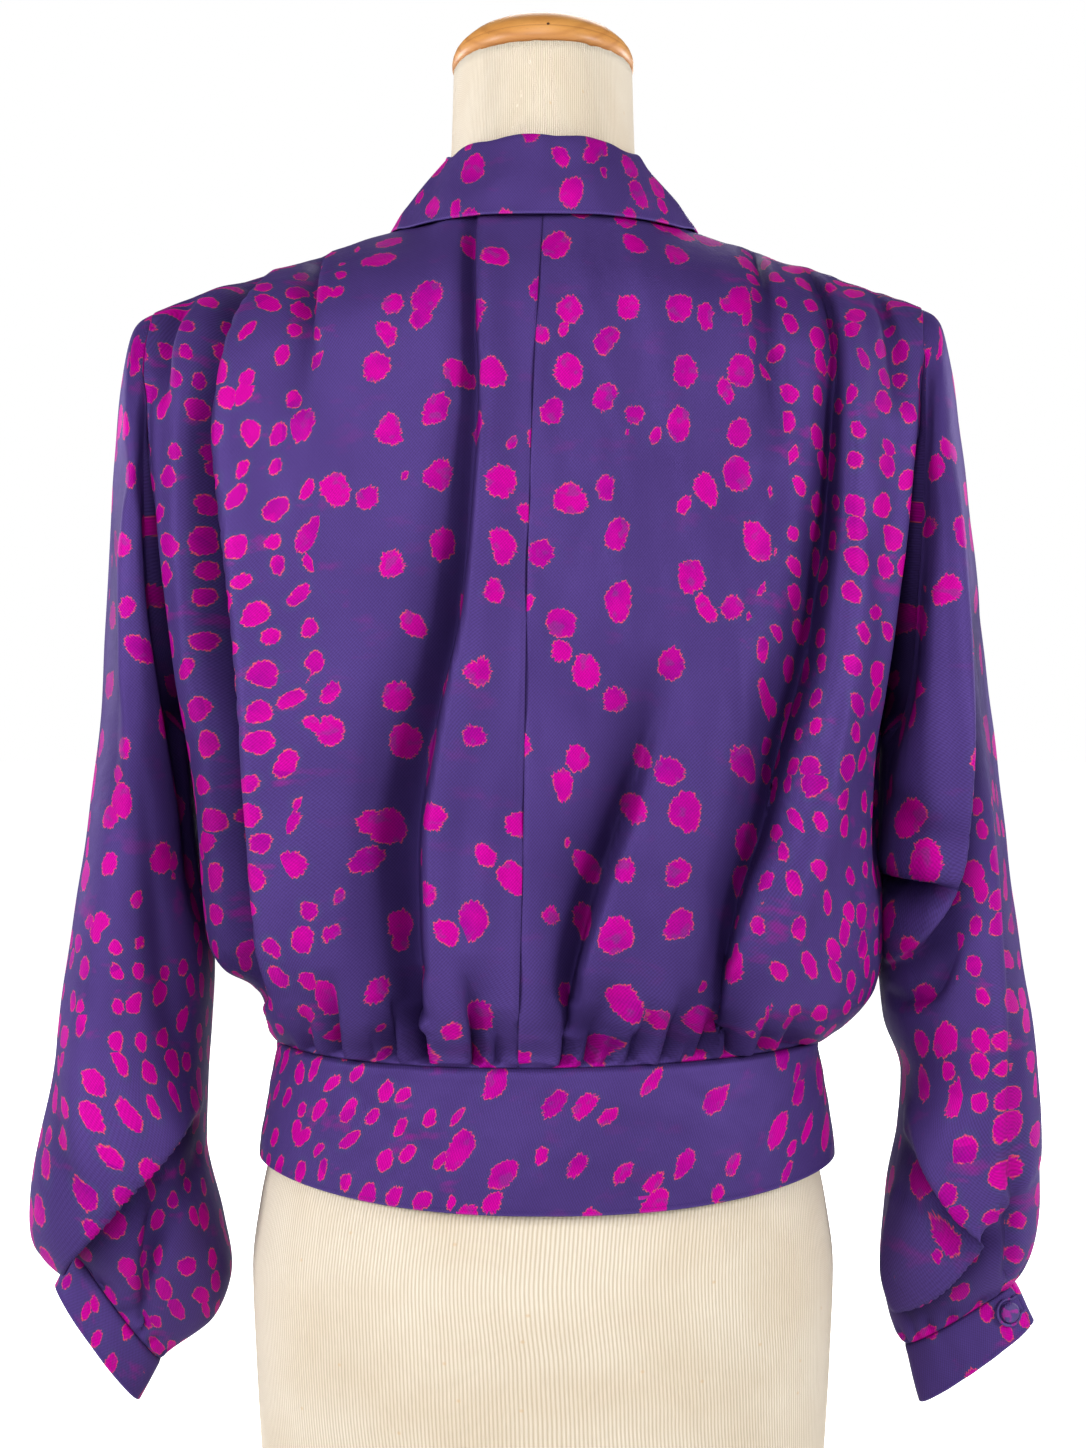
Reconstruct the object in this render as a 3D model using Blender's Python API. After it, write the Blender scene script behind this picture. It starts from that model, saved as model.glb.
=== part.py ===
"""A long-sleeved blouse with a turned collar and a fitted waistband, worn by a limbless dress form.

Metres, +Z up. The blouse's front faces -Y, its back +Y, and the wearer's left is +X.
The origin is the centre of the dress form's flat underside.
"""

import math

import bmesh
import bpy
import numpy as np

MM = 0.001

# Cloth
CLOTH = 1.3 * MM  # one layer, as a wall
CUFF_CLOTH = 2.0 * MM  # folded double
BAND_CLOTH = 1.6 * MM
SEAM = 0.3 * MM  # between pieces that are sewn together
EDGE_GAPS = {  # drawn in at the top edge, at the bottom edge
    "sleeve": (0.4 * MM, 1.0 * MM),
    "cuff": (0.7 * MM, 0),
    "back": (0.3 * MM, 0.21 * MM),
    "front": (0.3 * MM, 0.21 * MM),
}
UNDERARM_GAP = 2.2 * MM  # more where the sleeve folds back against the body
LAP_STEP = 2.8 * MM  # how far the under lap sits below the upper one
LAP_CLEAR = 24 * MM  # from the centre, where the under lap starts to rise again
LAP_RISE = 16 * MM

# How finely the walls are divided
NECK_COLUMNS = 5
SHOULDER_COLUMNS = 15
ARMHOLE_ROWS = 12
SLEEVE_ROWS = 26

# Bodice
NECK_HALF = 66 * MM  # from the centre back to the neck point
BACK_COLUMNS = NECK_COLUMNS + SHOULDER_COLUMNS
SHOULDER_ROLL = 62 * MM  # height over which the cloth turns over the shoulder
ARMHOLE_MIDDLE = 604 * MM
ARMHOLE_HALF = 127 * MM
ARMHOLE_BACK = 62 * MM
ARMHOLE_FRONT = 54 * MM
SHOULDER_Y = -2 * MM
LAP = 13 * MM  # how far each front runs past the centre

# Height of the side edge, below the armhole
LOWER_HEIGHTS = (478, 450, 420, 392, 368, 348, 332, 318, 307, 299)

# Side edge: height, reach to the wearer's left, reach to the right
SIDE_REACH = (
    (299, 157, 163),
    (308, 160, 180),
    (318, 164, 188),
    (330, 172, 193),
    (345, 186, 195),
    (359, 195, 195),
    (375, 199, 194),
    (407, 204, 193),
    (450, 209, 195),
    (478, 213, 198),
    (500, 216, 202),
    (550, 223, 206),
    (600, 228, 213),
    (650, 231, 218),
    (700, 233, 222),
    (731, 232, 226),
)

# Centre line: height, back depth, front depth
CENTRE_DEPTH = (
    (280, 112, 103),
    (300, 115, 106),
    (312, 124, 114),
    (330, 131, 121),
    (360, 134, 127),
    (400, 132, 129),
    (450, 128, 129),
    (500, 124, 131),
    (550, 121, 133),
    (600, 118, 132),
    (650, 113, 125),
    (700, 105, 116),
    (740, 93, 102),
    (770, 79, 88),
    (791, 70, 76),
)

# How far the cloth beside the armhole and under it stands off the centre plane: height, depth
SIDE_DEPTH = ((340, 2), (400, 8), (450, 24), (500, 43), (550, 56), (604, 61), (650, 57), (700, 38), (731, 2))

# How far the centre lies above the side edge: side height, at the back, at the front
CENTRE_LIFT = (
    (299, -5, -3),
    (340, -4, -1),
    (400, 0, 2),
    (478, 4, 6),
    (600, 22, 22),
    (731, 60, 60),
)

# Shoulder line: distance from the centre, height, depth (back of the neck positive)
SHOULDER_LINE = (
    (0, 790.5, 60),
    (20, 790.5, 58),
    (40, 790, 49),
    (55, 788, 32),
    (66, 786, 8),
    (80, 782, 1),
    (98, 776, -1),
    (140, 763, -2),
    (188, 748, -2),
    (215, 739, -2),
    (234, 731, -2),
)

# Front edge, from the neck down: row share of the armhole, distance from the centre
FRONT_EDGE = (
    (0.00, 66),
    (0.10, 66),
    (0.20, 61),
    (0.30, 51),
    (0.40, 34),
    (0.50, 14),
    (0.56, 0),
    (0.64, -13),
    (2.00, -13),
)

# Squareness of a body row, 2 being an ellipse: row, value
ROW_SQUARENESS = ((0.0, 2.3), (0.5, 2.5), (1.0, 3.0), (1.7, 2.9), (2.0, 2.3))
# Above the underarm the rows run out to the armhole less steeply: power of the curve
ARMHOLE_CURVE = 2.6

# The centre back seam drifts to the wearer's left on the way down: height, drift
SEAM_DRIFT = ((296, 14), (416, 11), (554, 9), (683, 5), (778, 0))

# Folds of the back, each along its own line. A trough is a soft hollow. A pleat is
# a step: it stands up on its right side as seen from behind, or left if width is below 0.
# x, height, depth, width
BACK_TROUGHS = {
    "centre": ((42, 560, 0, 12), (54, 504, 4, 14), (63, 466, 7, 17), (69, 416, 9, 20),
               (68, 367, 8, 19), (62, 320, 4, 14)),
    "left_shoulder": ((130, 759, 3, 7), (130, 726, 4, 8), (134, 693, 2, 9), (137, 660, 0, 10)),
    "left_long": ((167, 751, 3, 7), (178, 727, 5, 8), (186, 690, 6, 9), (189, 650, 7, 10),
                  (185, 613, 9, 12), (180, 578, 11, 14), (173, 527, 13, 16), (168, 471, 14, 18),
                  (165, 414, 14, 19), (162, 368, 10, 17), (161, 328, 3, 12)),
    "left_tip": ((214, 728, 2, 6), (218, 700, 4, 7), (219, 672, 0, 7)),
    "right_shoulder": ((-128, 761, 3, 7), (-129, 731, 4, 8), (-129, 695, 3, 9), (-127, 640, 0, 11)),
    "right_long": ((-162, 747, 3, 7), (-169, 725, 5, 8), (-172, 690, 6, 8), (-171, 645, 6, 9),
                   (-169, 601, 8, 11), (-165, 561, 10, 13), (-160, 527, 11, 15), (-151, 493, 12, 16),
                   (-142, 460, 12, 16), (-131, 421, 11, 16), (-116, 388, 9, 15), (-106, 350, 8, 13),
                   (-100, 318, 5, 11)),
    "right_soft": ((-66, 520, 0, 12), (-56, 477, 4, 14), (-47, 443, 6, 15), (-34, 405, 7, 16),
                   (-25, 372, 8, 14), (-18, 339, 7, 12), (-14, 318, 4, 10)),
}
BACK_PLEATS = {
    "neck": ((38, 770, 3, 13), (37, 724, 4, 14), (35, 671, 4, 15), (38, 609, 4, 16),
             (43, 554, 3, 17), (54, 504, 0, 18)),
}

# Folds of each front, the same on both sides. x, height, depth, width
FRONT_TROUGHS = {
    "shoulder": ((120, 757, 3, 8), (116, 715, 5, 10), (108, 660, 4, 13), (98, 600, 0, 15)),
    "shoulder_tip": ((176, 742, 3, 8), (182, 700, 6, 10), (180, 640, 7, 13), (168, 560, 8, 15),
                     (150, 480, 9, 17), (132, 400, 9, 17), (120, 340, 6, 13), (114, 318, 3, 11)),
    "middle": ((60, 560, 0, 13), (64, 490, 5, 15), (62, 420, 7, 16), (56, 360, 7, 14),
               (52, 320, 4, 11)),
}

# Columns of the walls that follow a fold all the way down: column, then x, height
BACK_GUIDES = {
    1: {
        3: ((38, 790), (37, 724), (35, 671), (38, 609), (43, 554), (54, 504), (63, 466), (69, 416),
            (68, 367), (60, 320), (56, 296)),
        10: ((130, 759), (130, 726), (134, 693), (137, 660), (134, 560), (125, 470), (118, 400),
             (108, 320), (102, 296)),
        14: ((167, 751), (178, 727), (186, 690), (189, 650), (185, 613), (180, 578), (173, 527),
             (168, 471), (165, 414), (162, 368), (152, 328), (136, 296)),
    },
    -1: {
        2: ((26, 790), (34, 700), (46, 620), (56, 560), (62, 520), (56, 477), (47, 443), (34, 405),
            (25, 372), (19, 339), (16, 296)),
        10: ((128, 761), (129, 731), (129, 695), (127, 640), (118, 560), (104, 480), (84, 420),
             (72, 360), (68, 320), (66, 296)),
        13: ((162, 747), (169, 725), (172, 690), (171, 645), (169, 601), (165, 561), (160, 527),
             (151, 493), (142, 460), (131, 421), (116, 388), (106, 350), (100, 318), (98, 296)),
    },
}
FRONT_GUIDES = {
    4: ((120, 757), (116, 715), (108, 660), (98, 600), (88, 540), (78, 480), (72, 420), (66, 360),
        (58, 296)),
    9: ((176, 742), (182, 700), (180, 640), (168, 560), (150, 480), (132, 400), (120, 340),
        (110, 296)),
}
GATHER_REACH = 58 * MM  # how far a gather runs up from the band
GATHER_DEPTHS = (3.4, 2.6, 3.8, 2.2, 3.0, 4.0, 2.4, 3.2, 2.8)  # mm, in turn round the band

# Sleeves: outer line x, height; inner line x, height; depth back, depth front
LEFT_SLEEVE = (
    (232, 731, 213, 478, 62, 54),
    (243, 722, 217, 470, 65, 58),
    (249, 695, 219, 460, 67, 62),
    (254, 655, 220, 447, 69, 64),
    (258, 600, 220, 432, 70, 66),
    (261, 540, 219, 415, 70, 66),
    (265, 480, 217, 395, 69, 66),
    (271, 425, 213, 368, 68, 65),
    (279, 372, 208, 338, 67, 64),
    (287, 320, 204, 305, 66, 63),
    (294, 268, 201, 270, 65, 61),
    (299, 222, 199, 235, 63, 59),
    (298, 198, 192, 190, 58, 56),
    (296, 182, 187, 160, 50, 49),
    (290, 176, 198, 130, 36, 35),
    (283, 174, 221, 110, 22, 21),
    (281, 173, 229, 104, 17, 16),
)
RIGHT_SLEEVE = (
    (226, 731, 198, 478, 62, 54),
    (237, 722, 203, 470, 65, 58),
    (243, 697, 206, 460, 67, 62),
    (249, 655, 207, 447, 69, 64),
    (255, 605, 207, 432, 70, 66),
    (261, 550, 207, 415, 70, 66),
    (268, 490, 206, 392, 69, 66),
    (274, 440, 206, 365, 68, 65),
    (280, 390, 209, 338, 67, 64),
    (288, 335, 214, 308, 66, 63),
    (295, 285, 214, 275, 64, 61),
    (297, 240, 209, 243, 61, 58),
    (297, 205, 204, 205, 56, 54),
    (294, 175, 202, 165, 48, 46),
    (289, 160, 207, 135, 34, 33),
    (285, 154, 213, 118, 21, 20),
    (283, 152, 217, 113, 17, 16),
)
LEFT_CUFF_END = (293, 149, 242, 80, 17, 16)
RIGHT_CUFF_END = (295, 128, 226, 79, 17, 16)
SLEEVE_SQUARENESS = 2.2
SLEEVE_GATHER = 2.6 * MM
SLEEVE_GATHER_REACH = 0.16  # share of the sleeve's rows

# Steps on the sleeves' backs, where cloth hangs over cloth: x, height, raised by.
# The raised side is the one towards +X of a line that runs down.
LEFT_SLEEVE_FLAP = ((186, 283, 12), (215, 247, 15), (245, 210, 15), (275, 174, 12), (292, 152, 8))
RIGHT_SLEEVE_FLAP = ((-254, 192, 6), (-249, 182, 12), (-238, 166, 13), (-226, 152, 12), (-208, 136, 8))
RIGHT_SLEEVE_SWAG = (
    (-240, 610, 0), (-243, 550, 5), (-244, 464, 9), (-240, 410, 12), (-233, 382, 12),
    (-223, 364, 12), (-200, 341, 8),
)
STEP_WIDTH = 3.5 * MM
STEP_FADE = 46 * MM
# Soft hollows of the sleeves' backs: x, height, depth, width
SLEEVE_TROUGHS = {
    1: {
        "upper": ((238, 668, 0, 6), (244, 630, 5, 7), (248, 580, 6, 8), (247, 520, 5, 9), (246, 450, 0, 12)),
        "under_flap": ((222, 216, 3, 6), (231, 190, 5, 7), (236, 160, 5, 6), (238, 140, 3, 5)),
    },
    -1: {
        "armhole": ((-226, 700, 2, 8), (-226, 640, 7, 10), (-222, 580, 9, 11), (-216, 520, 9, 11),
                    (-211, 455, 6, 10), (-209, 410, 4, 9)),
        "pocket": ((-203, 392, 8, 10), (-214, 387, 10, 12), (-226, 384, 5, 9)),
        "diagonal": ((-213, 302, 0, 6), (-220, 258, 3, 6), (-232, 222, 5, 6), (-246, 196, 6, 6)),
        "wrist": ((-268, 230, 0, 6), (-270, 200, 4, 6), (-270, 165, 3, 6)),
    },
}

# Waistband hem: half widths left and right, back and front depths, heights
HEM_LEFT, HEM_RIGHT = 169 * MM, 174 * MM
HEM_BACK, HEM_FRONT = 122 * MM, 106 * MM
HEM_SIDE_Z, HEM_BACK_Z, HEM_FRONT_Z = 231 * MM, 214 * MM, 222 * MM
BODY_SQUARENESS = 2.3
BAND_SAG = 1.2 * MM  # how far the band bows out between its edges

# Collar, by distance of the seam from the centre back. Roll line above the seam: sideways, back, up
COLLAR_ROLL = ((0, 0, -3, 38), (20, -1, -3, 37.5), (40, -3, -2.5, 36.5), (55, -5, -1, 37), (66, -7, -1, 38.5))
# Outer edge: x, y, height
COLLAR_EDGE = ((0, 0, 76, 776), (20, 27, 75, 776.5), (40, 55, 63, 777.5), (55, 76, 44, 779), (66, 93, 6, 780.5))
COLLAR_LOW = 0.7 * MM  # the stand's foot above the cloth that it is sewn to
# Front stations, from the neck point to the V: row share, roll inwards, forward, up, width
COLLAR_FRONT = (
    (0.10, 7, 3, 33, 31),
    (0.16, 8, 4, 25, 38),
    (0.22, 8, 5, 18, 44),
    (0.29, 8, 5, 12, 47),
    (0.36, 7, 5, 8, 46),
    (0.43, 6, 5, 5, 38),
    (0.49, 4, 5, 4, 25),
    (0.535, 2, 4, 3.5, 9),
)
ROLL_RADIUS = 2.3 * MM
COLLAR_LIFT = 2.6 * MM  # the collar's face above the front that it lies on

# Dress form: height, half width, back, front, squareness, tilt of the row in degrees
FORM_ROWS = (
    (0, 163, 101, 92, 2.3, 0),
    (51, 167.5, 106, 94, 2.3, 0),
    (110, 171, 112, 96, 2.3, 0),
    (164, 173, 116, 98, 2.3, 0),
    (205, 168, 116, 99, 2.3, 0),
    (231, 163, 113, 98, 2.3, 0),
    (265, 159.5, 109, 97, 2.3, 0),
    (295, 154, 104, 94, 2.3, 0),
    (340, 136, 94, 90, 2.25, 0),
    (385, 123, 86, 90, 2.2, 0),
    (430, 126, 86, 96, 2.2, 0),
    (500, 139, 91, 108, 2.2, 0),
    (570, 152, 97, 115, 2.2, 0),
    (640, 161, 101, 108, 2.3, 0),
    (690, 169, 94, 94, 2.3, 0),
    (722, 178, 78, 80, 2.0, 0),
    (740, 175, 60, 62, 1.7, 0),
    (751.9, 161, 50, 54, 1.5, 0),
    (760.4, 137, 46, 50, 1.5, 0),
    (768.8, 111, 44, 50, 1.6, 0),
    (775.4, 87, 44, 52, 1.8, 0),
    (782.4, 64.5, 46, 54, 2.0, 1),
    (796, 58, 50, 58, 2.1, 3),
    (826, 55, 50, 57, 2.1, 4),
    (874, 53.5, 50, 56, 2.1, 5),
)
FORM_COLUMNS = 28

# Wooden neck cap, turned: radius, height above its underside
CAP_PROFILE = ((50, 0.0), (54.6, 1.2), (56.0, 5.5), (54.8, 10.5), (50.0, 17.0), (41.0, 23.5),
               (28.0, 28.2), (14.0, 30.6), (0, 31.4))
CAP_SEGMENTS = 26
CAP_TILT = 5.0

# Covered buttons
BUTTON_RADIUS = 6.0 * MM
BUTTON_THICK = 5.2 * MM
FRONT_BUTTONS = (556, 486, 416, 346)  # heights on the front lap
LOOP_RADIUS = 7.6 * MM
LOOP_CORD = 0.9 * MM
LOOP_POINTS = 11
LOOP_SIDES = 6
LOOP_OPENING = 42  # degrees, half of the gap towards the cuff's end
LOOP_LEG = 10 * MM
CUFF_BUTTON_TURN = 50  # degrees round from the cuff's outer end
CUFF_BUTTON_SHARE = 0.42  # of the cuff's height


def smooth(where, table, column):
    """A column of a table, read at any value of its first column along smooth curves that never overshoot."""
    rows = sorted(table)
    xs = np.array([row[0] for row in rows], float)
    ys = np.array([row[column] for row in rows], float)
    steps = np.diff(xs)
    rises = np.diff(ys) / steps
    slopes = np.empty_like(ys)
    slopes[0], slopes[-1] = rises[0], rises[-1]
    same_way = rises[1:] * rises[:-1] > 0
    mean = 2 * rises[1:] * rises[:-1] / np.where(same_way, rises[1:] + rises[:-1], 1)
    slopes[1:-1] = np.where(same_way, mean, 0)
    q = np.clip(np.asarray(where, float), xs[0], xs[-1])
    i = np.clip(np.searchsorted(xs, q, side="right") - 1, 0, len(xs) - 2)
    t = (q - xs[i]) / steps[i]
    return (
        (2 * t**3 - 3 * t**2 + 1) * ys[i]
        + (t**3 - 2 * t**2 + t) * steps[i] * slopes[i]
        + (3 * t**2 - 2 * t**3) * ys[i + 1]
        + (t**3 - t**2) * steps[i] * slopes[i + 1]
    )


def signed_power(value, power):
    return np.sign(value) * np.abs(value) ** power


def ease(t):
    t = np.clip(t, 0, 1)
    return t * t * (3 - 2 * t)


def edge_height(row):
    """Height of the side edge. Row 0 is the shoulder tip, 1 the underarm and 2 the band seam."""
    row = np.asarray(row, float)
    lower = [(i / (len(LOWER_HEIGHTS) - 1), z) for i, z in enumerate(LOWER_HEIGHTS)]
    armhole = ARMHOLE_MIDDLE + ARMHOLE_HALF * np.cos(math.pi * np.clip(row, 0, 1))
    return np.where(row <= 1, armhole, smooth(np.clip(row - 1, 0, 1), lower, 1) * MM)


def edge_reach(height, side):
    return smooth(height / MM, SIDE_REACH, 1 if side > 0 else 2) * MM


def shoulder_line(x):
    """Depth and height of the neck and shoulder line at a distance from the centre."""
    return smooth(x / MM, SHOULDER_LINE, 2) * MM, smooth(x / MM, SHOULDER_LINE, 1) * MM


def body_point(row, turn, side, face):
    """A point of the bodice before its folds. Turn runs from 0 at the centre to a quarter turn at the side edge.
    Side is 1 on the wearer's left and -1 on the right; face is 1 at the back and -1 at the front."""
    z_edge = edge_height(row)
    reach = edge_reach(z_edge, side)
    square = smooth(row, ROW_SQUARENESS, 1)
    x = reach * signed_power(np.sin(turn), 2 / square)
    along = np.abs(x) / reach
    gentle = ease((1 - row) * 1.6)
    out = np.abs(np.cos(turn)) ** (2 / square)
    out = gentle * (1 - along**ARMHOLE_CURVE) + (1 - gentle) * out
    depth_edge = np.where(
        row <= 1,
        (ARMHOLE_BACK if face > 0 else ARMHOLE_FRONT) * np.sin(math.pi * np.clip(row, 0, 1)),
        0,
    ) + face * SHOULDER_Y
    top_y, top_z = shoulder_line(np.abs(x))
    lift = smooth(z_edge / MM, CENTRE_LIFT, 1 if face > 0 else 2) * MM
    z_centre = z_edge + lift
    shoulder_drop = (top_z - SHOULDER_LINE[-1][1] * MM) / (60 * MM)
    level = 1 - along**2
    high = ease(1 - row)
    z = z_edge + (z_centre - z_edge) * (high * shoulder_drop + (1 - high) * level)
    z = np.where(row <= 0, top_z, z)
    drop = np.clip((top_z - z) / SHOULDER_ROLL, 0, 1)
    roll = np.sqrt(1 - (1 - drop) ** 2)
    depth_centre = smooth(z / MM, CENTRE_DEPTH, 1 if face > 0 else 2) * MM
    top = face * top_y
    depth_near = smooth(z_edge / MM, SIDE_DEPTH, 1) * MM * (ARMHOLE_BACK if face > 0 else ARMHOLE_FRONT)
    depth_near = depth_near / ARMHOLE_BACK + face * SHOULDER_Y
    depth = (
        depth_near * (1 - out)
        + (depth_edge - depth_near) * along**10
        + depth_centre * out * roll
        + (1 - roll) * (top - face * SHOULDER_Y * (1 - out))
    )
    sway = np.where(face > 0, smooth(z / MM, SEAM_DRIFT, 1) * MM * out**2, 0)
    return np.stack([side * x + sway, face * depth, z], axis=-1)


def turn_at(x, row, side):
    """The turn whose point lies at a distance from the centre."""
    share = np.clip(x / edge_reach(edge_height(row), side), -1, 1)
    return np.arcsin(signed_power(share, smooth(row, ROW_SQUARENESS, 1) / 2))


def panel_turn(row, columns, side, face, top_turn=None):
    """The turns of a row's columns, from the panel's centre edge to its side edge. Some columns follow a fold."""
    guides = BACK_GUIDES[side] if face > 0 else FRONT_GUIDES
    z_edge = edge_height(row)
    first = 0.0 if face > 0 else float(turn_at(smooth(row, FRONT_EDGE, 1) * MM, row, side))
    marks, turns = [0], [first]
    if face > 0:
        guides = {NECK_COLUMNS: None, **guides}
    for column in sorted(guides):
        if guides[column] is None:
            share = NECK_HALF / edge_reach(edge_height(0.0), side)
            x = share * edge_reach(z_edge, side)
            keep = 1 - ease(row / 0.3)
            if keep <= 0:
                continue
        else:
            z = float(z_edge)
            for _ in range(4):
                x = smooth(z / MM, [(h, x) for x, h in guides[column]], 1) * MM
                turn = turn_at(x, row, side)
                z = float(body_point(np.array(row), turn, side, face)[2])
            keep = 1
        marks.append(column)
        turn = float(turn_at(x, row, side))
        if keep < 1:
            known = sorted(c for c in guides if guides[c])
            after = next(c for c in known if c > column)
            turns_after = smooth(float(z_edge) / MM, [(h, x) for x, h in guides[after]], 1) * MM
            plain = np.interp(column, [marks[-2], after], [turns[-1], float(turn_at(turns_after, row, side))])
            turn = turn * keep + plain * (1 - keep)
        turns.append(turn)
    marks.append(columns - 1)
    turns.append(math.pi / 2)
    own = np.interp(np.arange(columns), marks, turns)
    if top_turn is None:
        return own
    mix = ease(row / 0.5)
    return first + (top_turn - top_turn[0]) / (math.pi / 2 - top_turn[0]) * (math.pi / 2 - first) * (1 - mix) + (
        own - first
    ) * mix


def line_offsets(points, line):
    """For each x, z point: distance to a fold's line, signed, and the fold's depth and width there."""
    line = np.array(line, float) * MM
    best = np.full(points.shape[:-1], 1e9)
    signed, depth, width = np.zeros_like(best), np.zeros_like(best), np.ones_like(best)
    for a, b in zip(line[:-1], line[1:]):
        run = b[:2] - a[:2]
        t = np.clip(((points - a[:2]) @ run) / (run @ run), 0, 1)
        gap = points - (a[:2] + t[..., None] * run)
        distance = np.hypot(gap[..., 0], gap[..., 1])
        cross = run[0] * gap[..., 1] - run[1] * gap[..., 0]
        near = distance < best
        best = np.where(near, distance, best)
        signed = np.where(near, np.sign(cross) * distance, signed)
        depth = np.where(near, a[2] + t * (b[2] - a[2]), depth)
        if len(a) > 3:
            width = np.where(near, a[3] + t * (b[3] - a[3]), width)
    return signed, depth, width


def trough(points, line):
    signed, depth, width = line_offsets(points, line)
    return -depth * np.exp(-((signed / width) ** 2))


def pleat(points, line):
    """Stands up on the side of the centre and hollows on the other."""
    signed, depth, width = line_offsets(points, line)
    return depth * np.tanh(-signed / (3 * MM)) * np.exp(-((signed / width) ** 2))


def overhang(points, line, fade=STEP_FADE):
    """A step up to the left of the line, fading away behind it."""
    signed, height, _ = line_offsets(points, line)
    step = 0.5 + 0.5 * np.tanh(signed / STEP_WIDTH)
    return height * step * np.exp(-((np.maximum(signed, 0) / fade) ** 2))


def grid_normals(grid, closed):
    """Normals of a grid of points, rows by columns, pointing along row step x column step."""
    down = np.gradient(grid, axis=0)
    if closed:
        across = (np.roll(grid, -1, axis=1) - np.roll(grid, 1, axis=1)) / 2
    else:
        across = np.gradient(grid, axis=1)
    normal = np.cross(down, across)
    return normal / np.maximum(np.linalg.norm(normal, axis=-1, keepdims=True), 1e-12)


def body_rows():
    rows = [i / ARMHOLE_ROWS for i in range(ARMHOLE_ROWS + 1)]
    lower = len(LOWER_HEIGHTS) - 1
    return np.array(rows + [1 + i / lower for i in range(1, lower + 1)])


def gather_wave(rows, columns, side, face):
    """Alternate columns stand out and sink in above the band seam, by uneven depths."""
    z = edge_height(rows)
    height = (z - edge_height(2.0)) / GATHER_REACH
    fade = np.clip(1 - height, 0, 1) ** 1.3 * ease(height * 3.5)
    start, inset = (2, 0) if face > 0 else (5, 2)
    depths = np.array([GATHER_DEPTHS[(j + start + (side > 0)) % len(GATHER_DEPTHS)] for j in range(columns)])
    sign = np.where(np.arange(columns) % 2 == 0, -1, 1)
    wave = depths * sign * MM
    wave[: inset + 1] = wave[-1] = 0
    return fade[:, None] * wave[None, :]


def bodice_panel(side, face):
    """The outer points of a back or a front, rows by columns."""
    rows = body_rows()
    columns = BACK_COLUMNS + 1 if face > 0 else SHOULDER_COLUMNS + 1
    top_turn = None
    if face < 0:
        top_turn = panel_turn(0.0, BACK_COLUMNS + 1, side, 1)[NECK_COLUMNS:]
    turn = np.stack([panel_turn(row, columns, side, face, top_turn) for row in rows])
    row_grid = np.repeat(rows[:, None], columns, axis=1)
    grid = body_point(row_grid, turn, side, face)
    normal = grid_normals(grid, False) * side * -face
    flat = grid[..., [0, 2]].copy()
    move = gather_wave(rows, columns, side, face)
    if face > 0:
        for line in BACK_TROUGHS.values():
            move += trough(flat, line)
        for line in BACK_PLEATS.values():
            move += pleat(flat, line)
    else:
        flat[..., 0] *= side
        for line in FRONT_TROUGHS.values():
            move += trough(flat, line)
    # Nothing moves where the panel is sewn, apart from the centre back seam
    from_side = np.arange(columns - 1, -1, -1) / 3
    edge = np.minimum(1, from_side)[None, :] * np.where(row_grid >= 2, 0, 1)
    edge = edge * np.clip(row_grid * ARMHOLE_ROWS, 0, 1)
    grid += normal * (move * edge)[..., None]
    if face < 0 and side > 0:
        under = ease(1 - (grid[..., 0] - LAP_CLEAR) / LAP_RISE) * ease((row_grid - 0.45) / 0.1)
        grid[..., 1] += LAP_STEP * under
    return grid


def sleeve_table(side):
    rows = LEFT_SLEEVE if side > 0 else RIGHT_SLEEVE
    return [(i / (len(rows) - 1), *row) for i, row in enumerate(rows)]


def ring(values, turn, side, square=SLEEVE_SQUARENESS):
    """A closed section between an outer and an inner point, as deep as given to the back and to the front."""
    out_x, out_z, in_x, in_z, back, front = values
    c, s = signed_power(np.cos(turn), 2 / square), signed_power(np.sin(turn), 2 / square)
    x = (out_x + in_x) / 2 + (out_x - in_x) / 2 * c
    z = (out_z + in_z) / 2 + (out_z - in_z) / 2 * c
    y = np.where(s > 0, back * s, front * s)
    return np.stack([side * x, y + SHOULDER_Y / MM, z], axis=-1) * MM


def armhole_ring(turn, side):
    """The armhole seam: down the back edge and up the front edge."""
    at_back = turn <= math.pi
    row = np.where(at_back, turn, 2 * math.pi - turn) / math.pi
    quarter = np.full_like(row, math.pi / 2)
    return np.where(
        at_back[..., None],
        body_point(row, quarter, side, 1),
        body_point(row, quarter, side, -1),
    )


def sleeve_grid(side):
    """The outer points of a sleeve, from the armhole to the cuff seam, round from the shoulder tip by the back."""
    around = 2 * ARMHOLE_ROWS
    turn = np.arange(around) * 2 * math.pi / around
    table = sleeve_table(side)
    seam = armhole_ring(turn, side)
    first = ring(table[0][1:], turn, side)
    grid = []
    for i in range(SLEEVE_ROWS + 1):
        t = i / SLEEVE_ROWS
        values = [smooth(t, table, k) for k in range(1, 7)]
        keep = (1 - ease(t / 0.22)) if i else 1
        grid.append(ring(values, turn, side) + (seam - first) * keep)
    grid = np.array(grid)
    normal = grid_normals(grid, True) * side
    t = np.linspace(0, 1, SLEEVE_ROWS + 1)[:, None]
    near_cuff = ease((t - 1 + SLEEVE_GATHER_REACH) / SLEEVE_GATHER_REACH) * ease((1 - t) * SLEEVE_ROWS)
    wave = np.where(np.arange(around) % 2 == 0, 1.0, -1.0)[None, :]
    move = SLEEVE_GATHER * near_cuff * wave
    flat = grid[..., [0, 2]]
    behind = ease((grid[..., 1] - 8 * MM) / (18 * MM))
    if side > 0:
        folds = overhang(flat, LEFT_SLEEVE_FLAP)
    else:
        folds = overhang(flat, RIGHT_SLEEVE_FLAP) + overhang(flat, RIGHT_SLEEVE_SWAG)
    for line in SLEEVE_TROUGHS[side].values():
        folds += trough(flat, line)
    move = move + folds * behind * np.where(t > 0, 1, 0) * ease((1 - t) * SLEEVE_ROWS / 3)
    return grid + normal * move[..., None]


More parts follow.
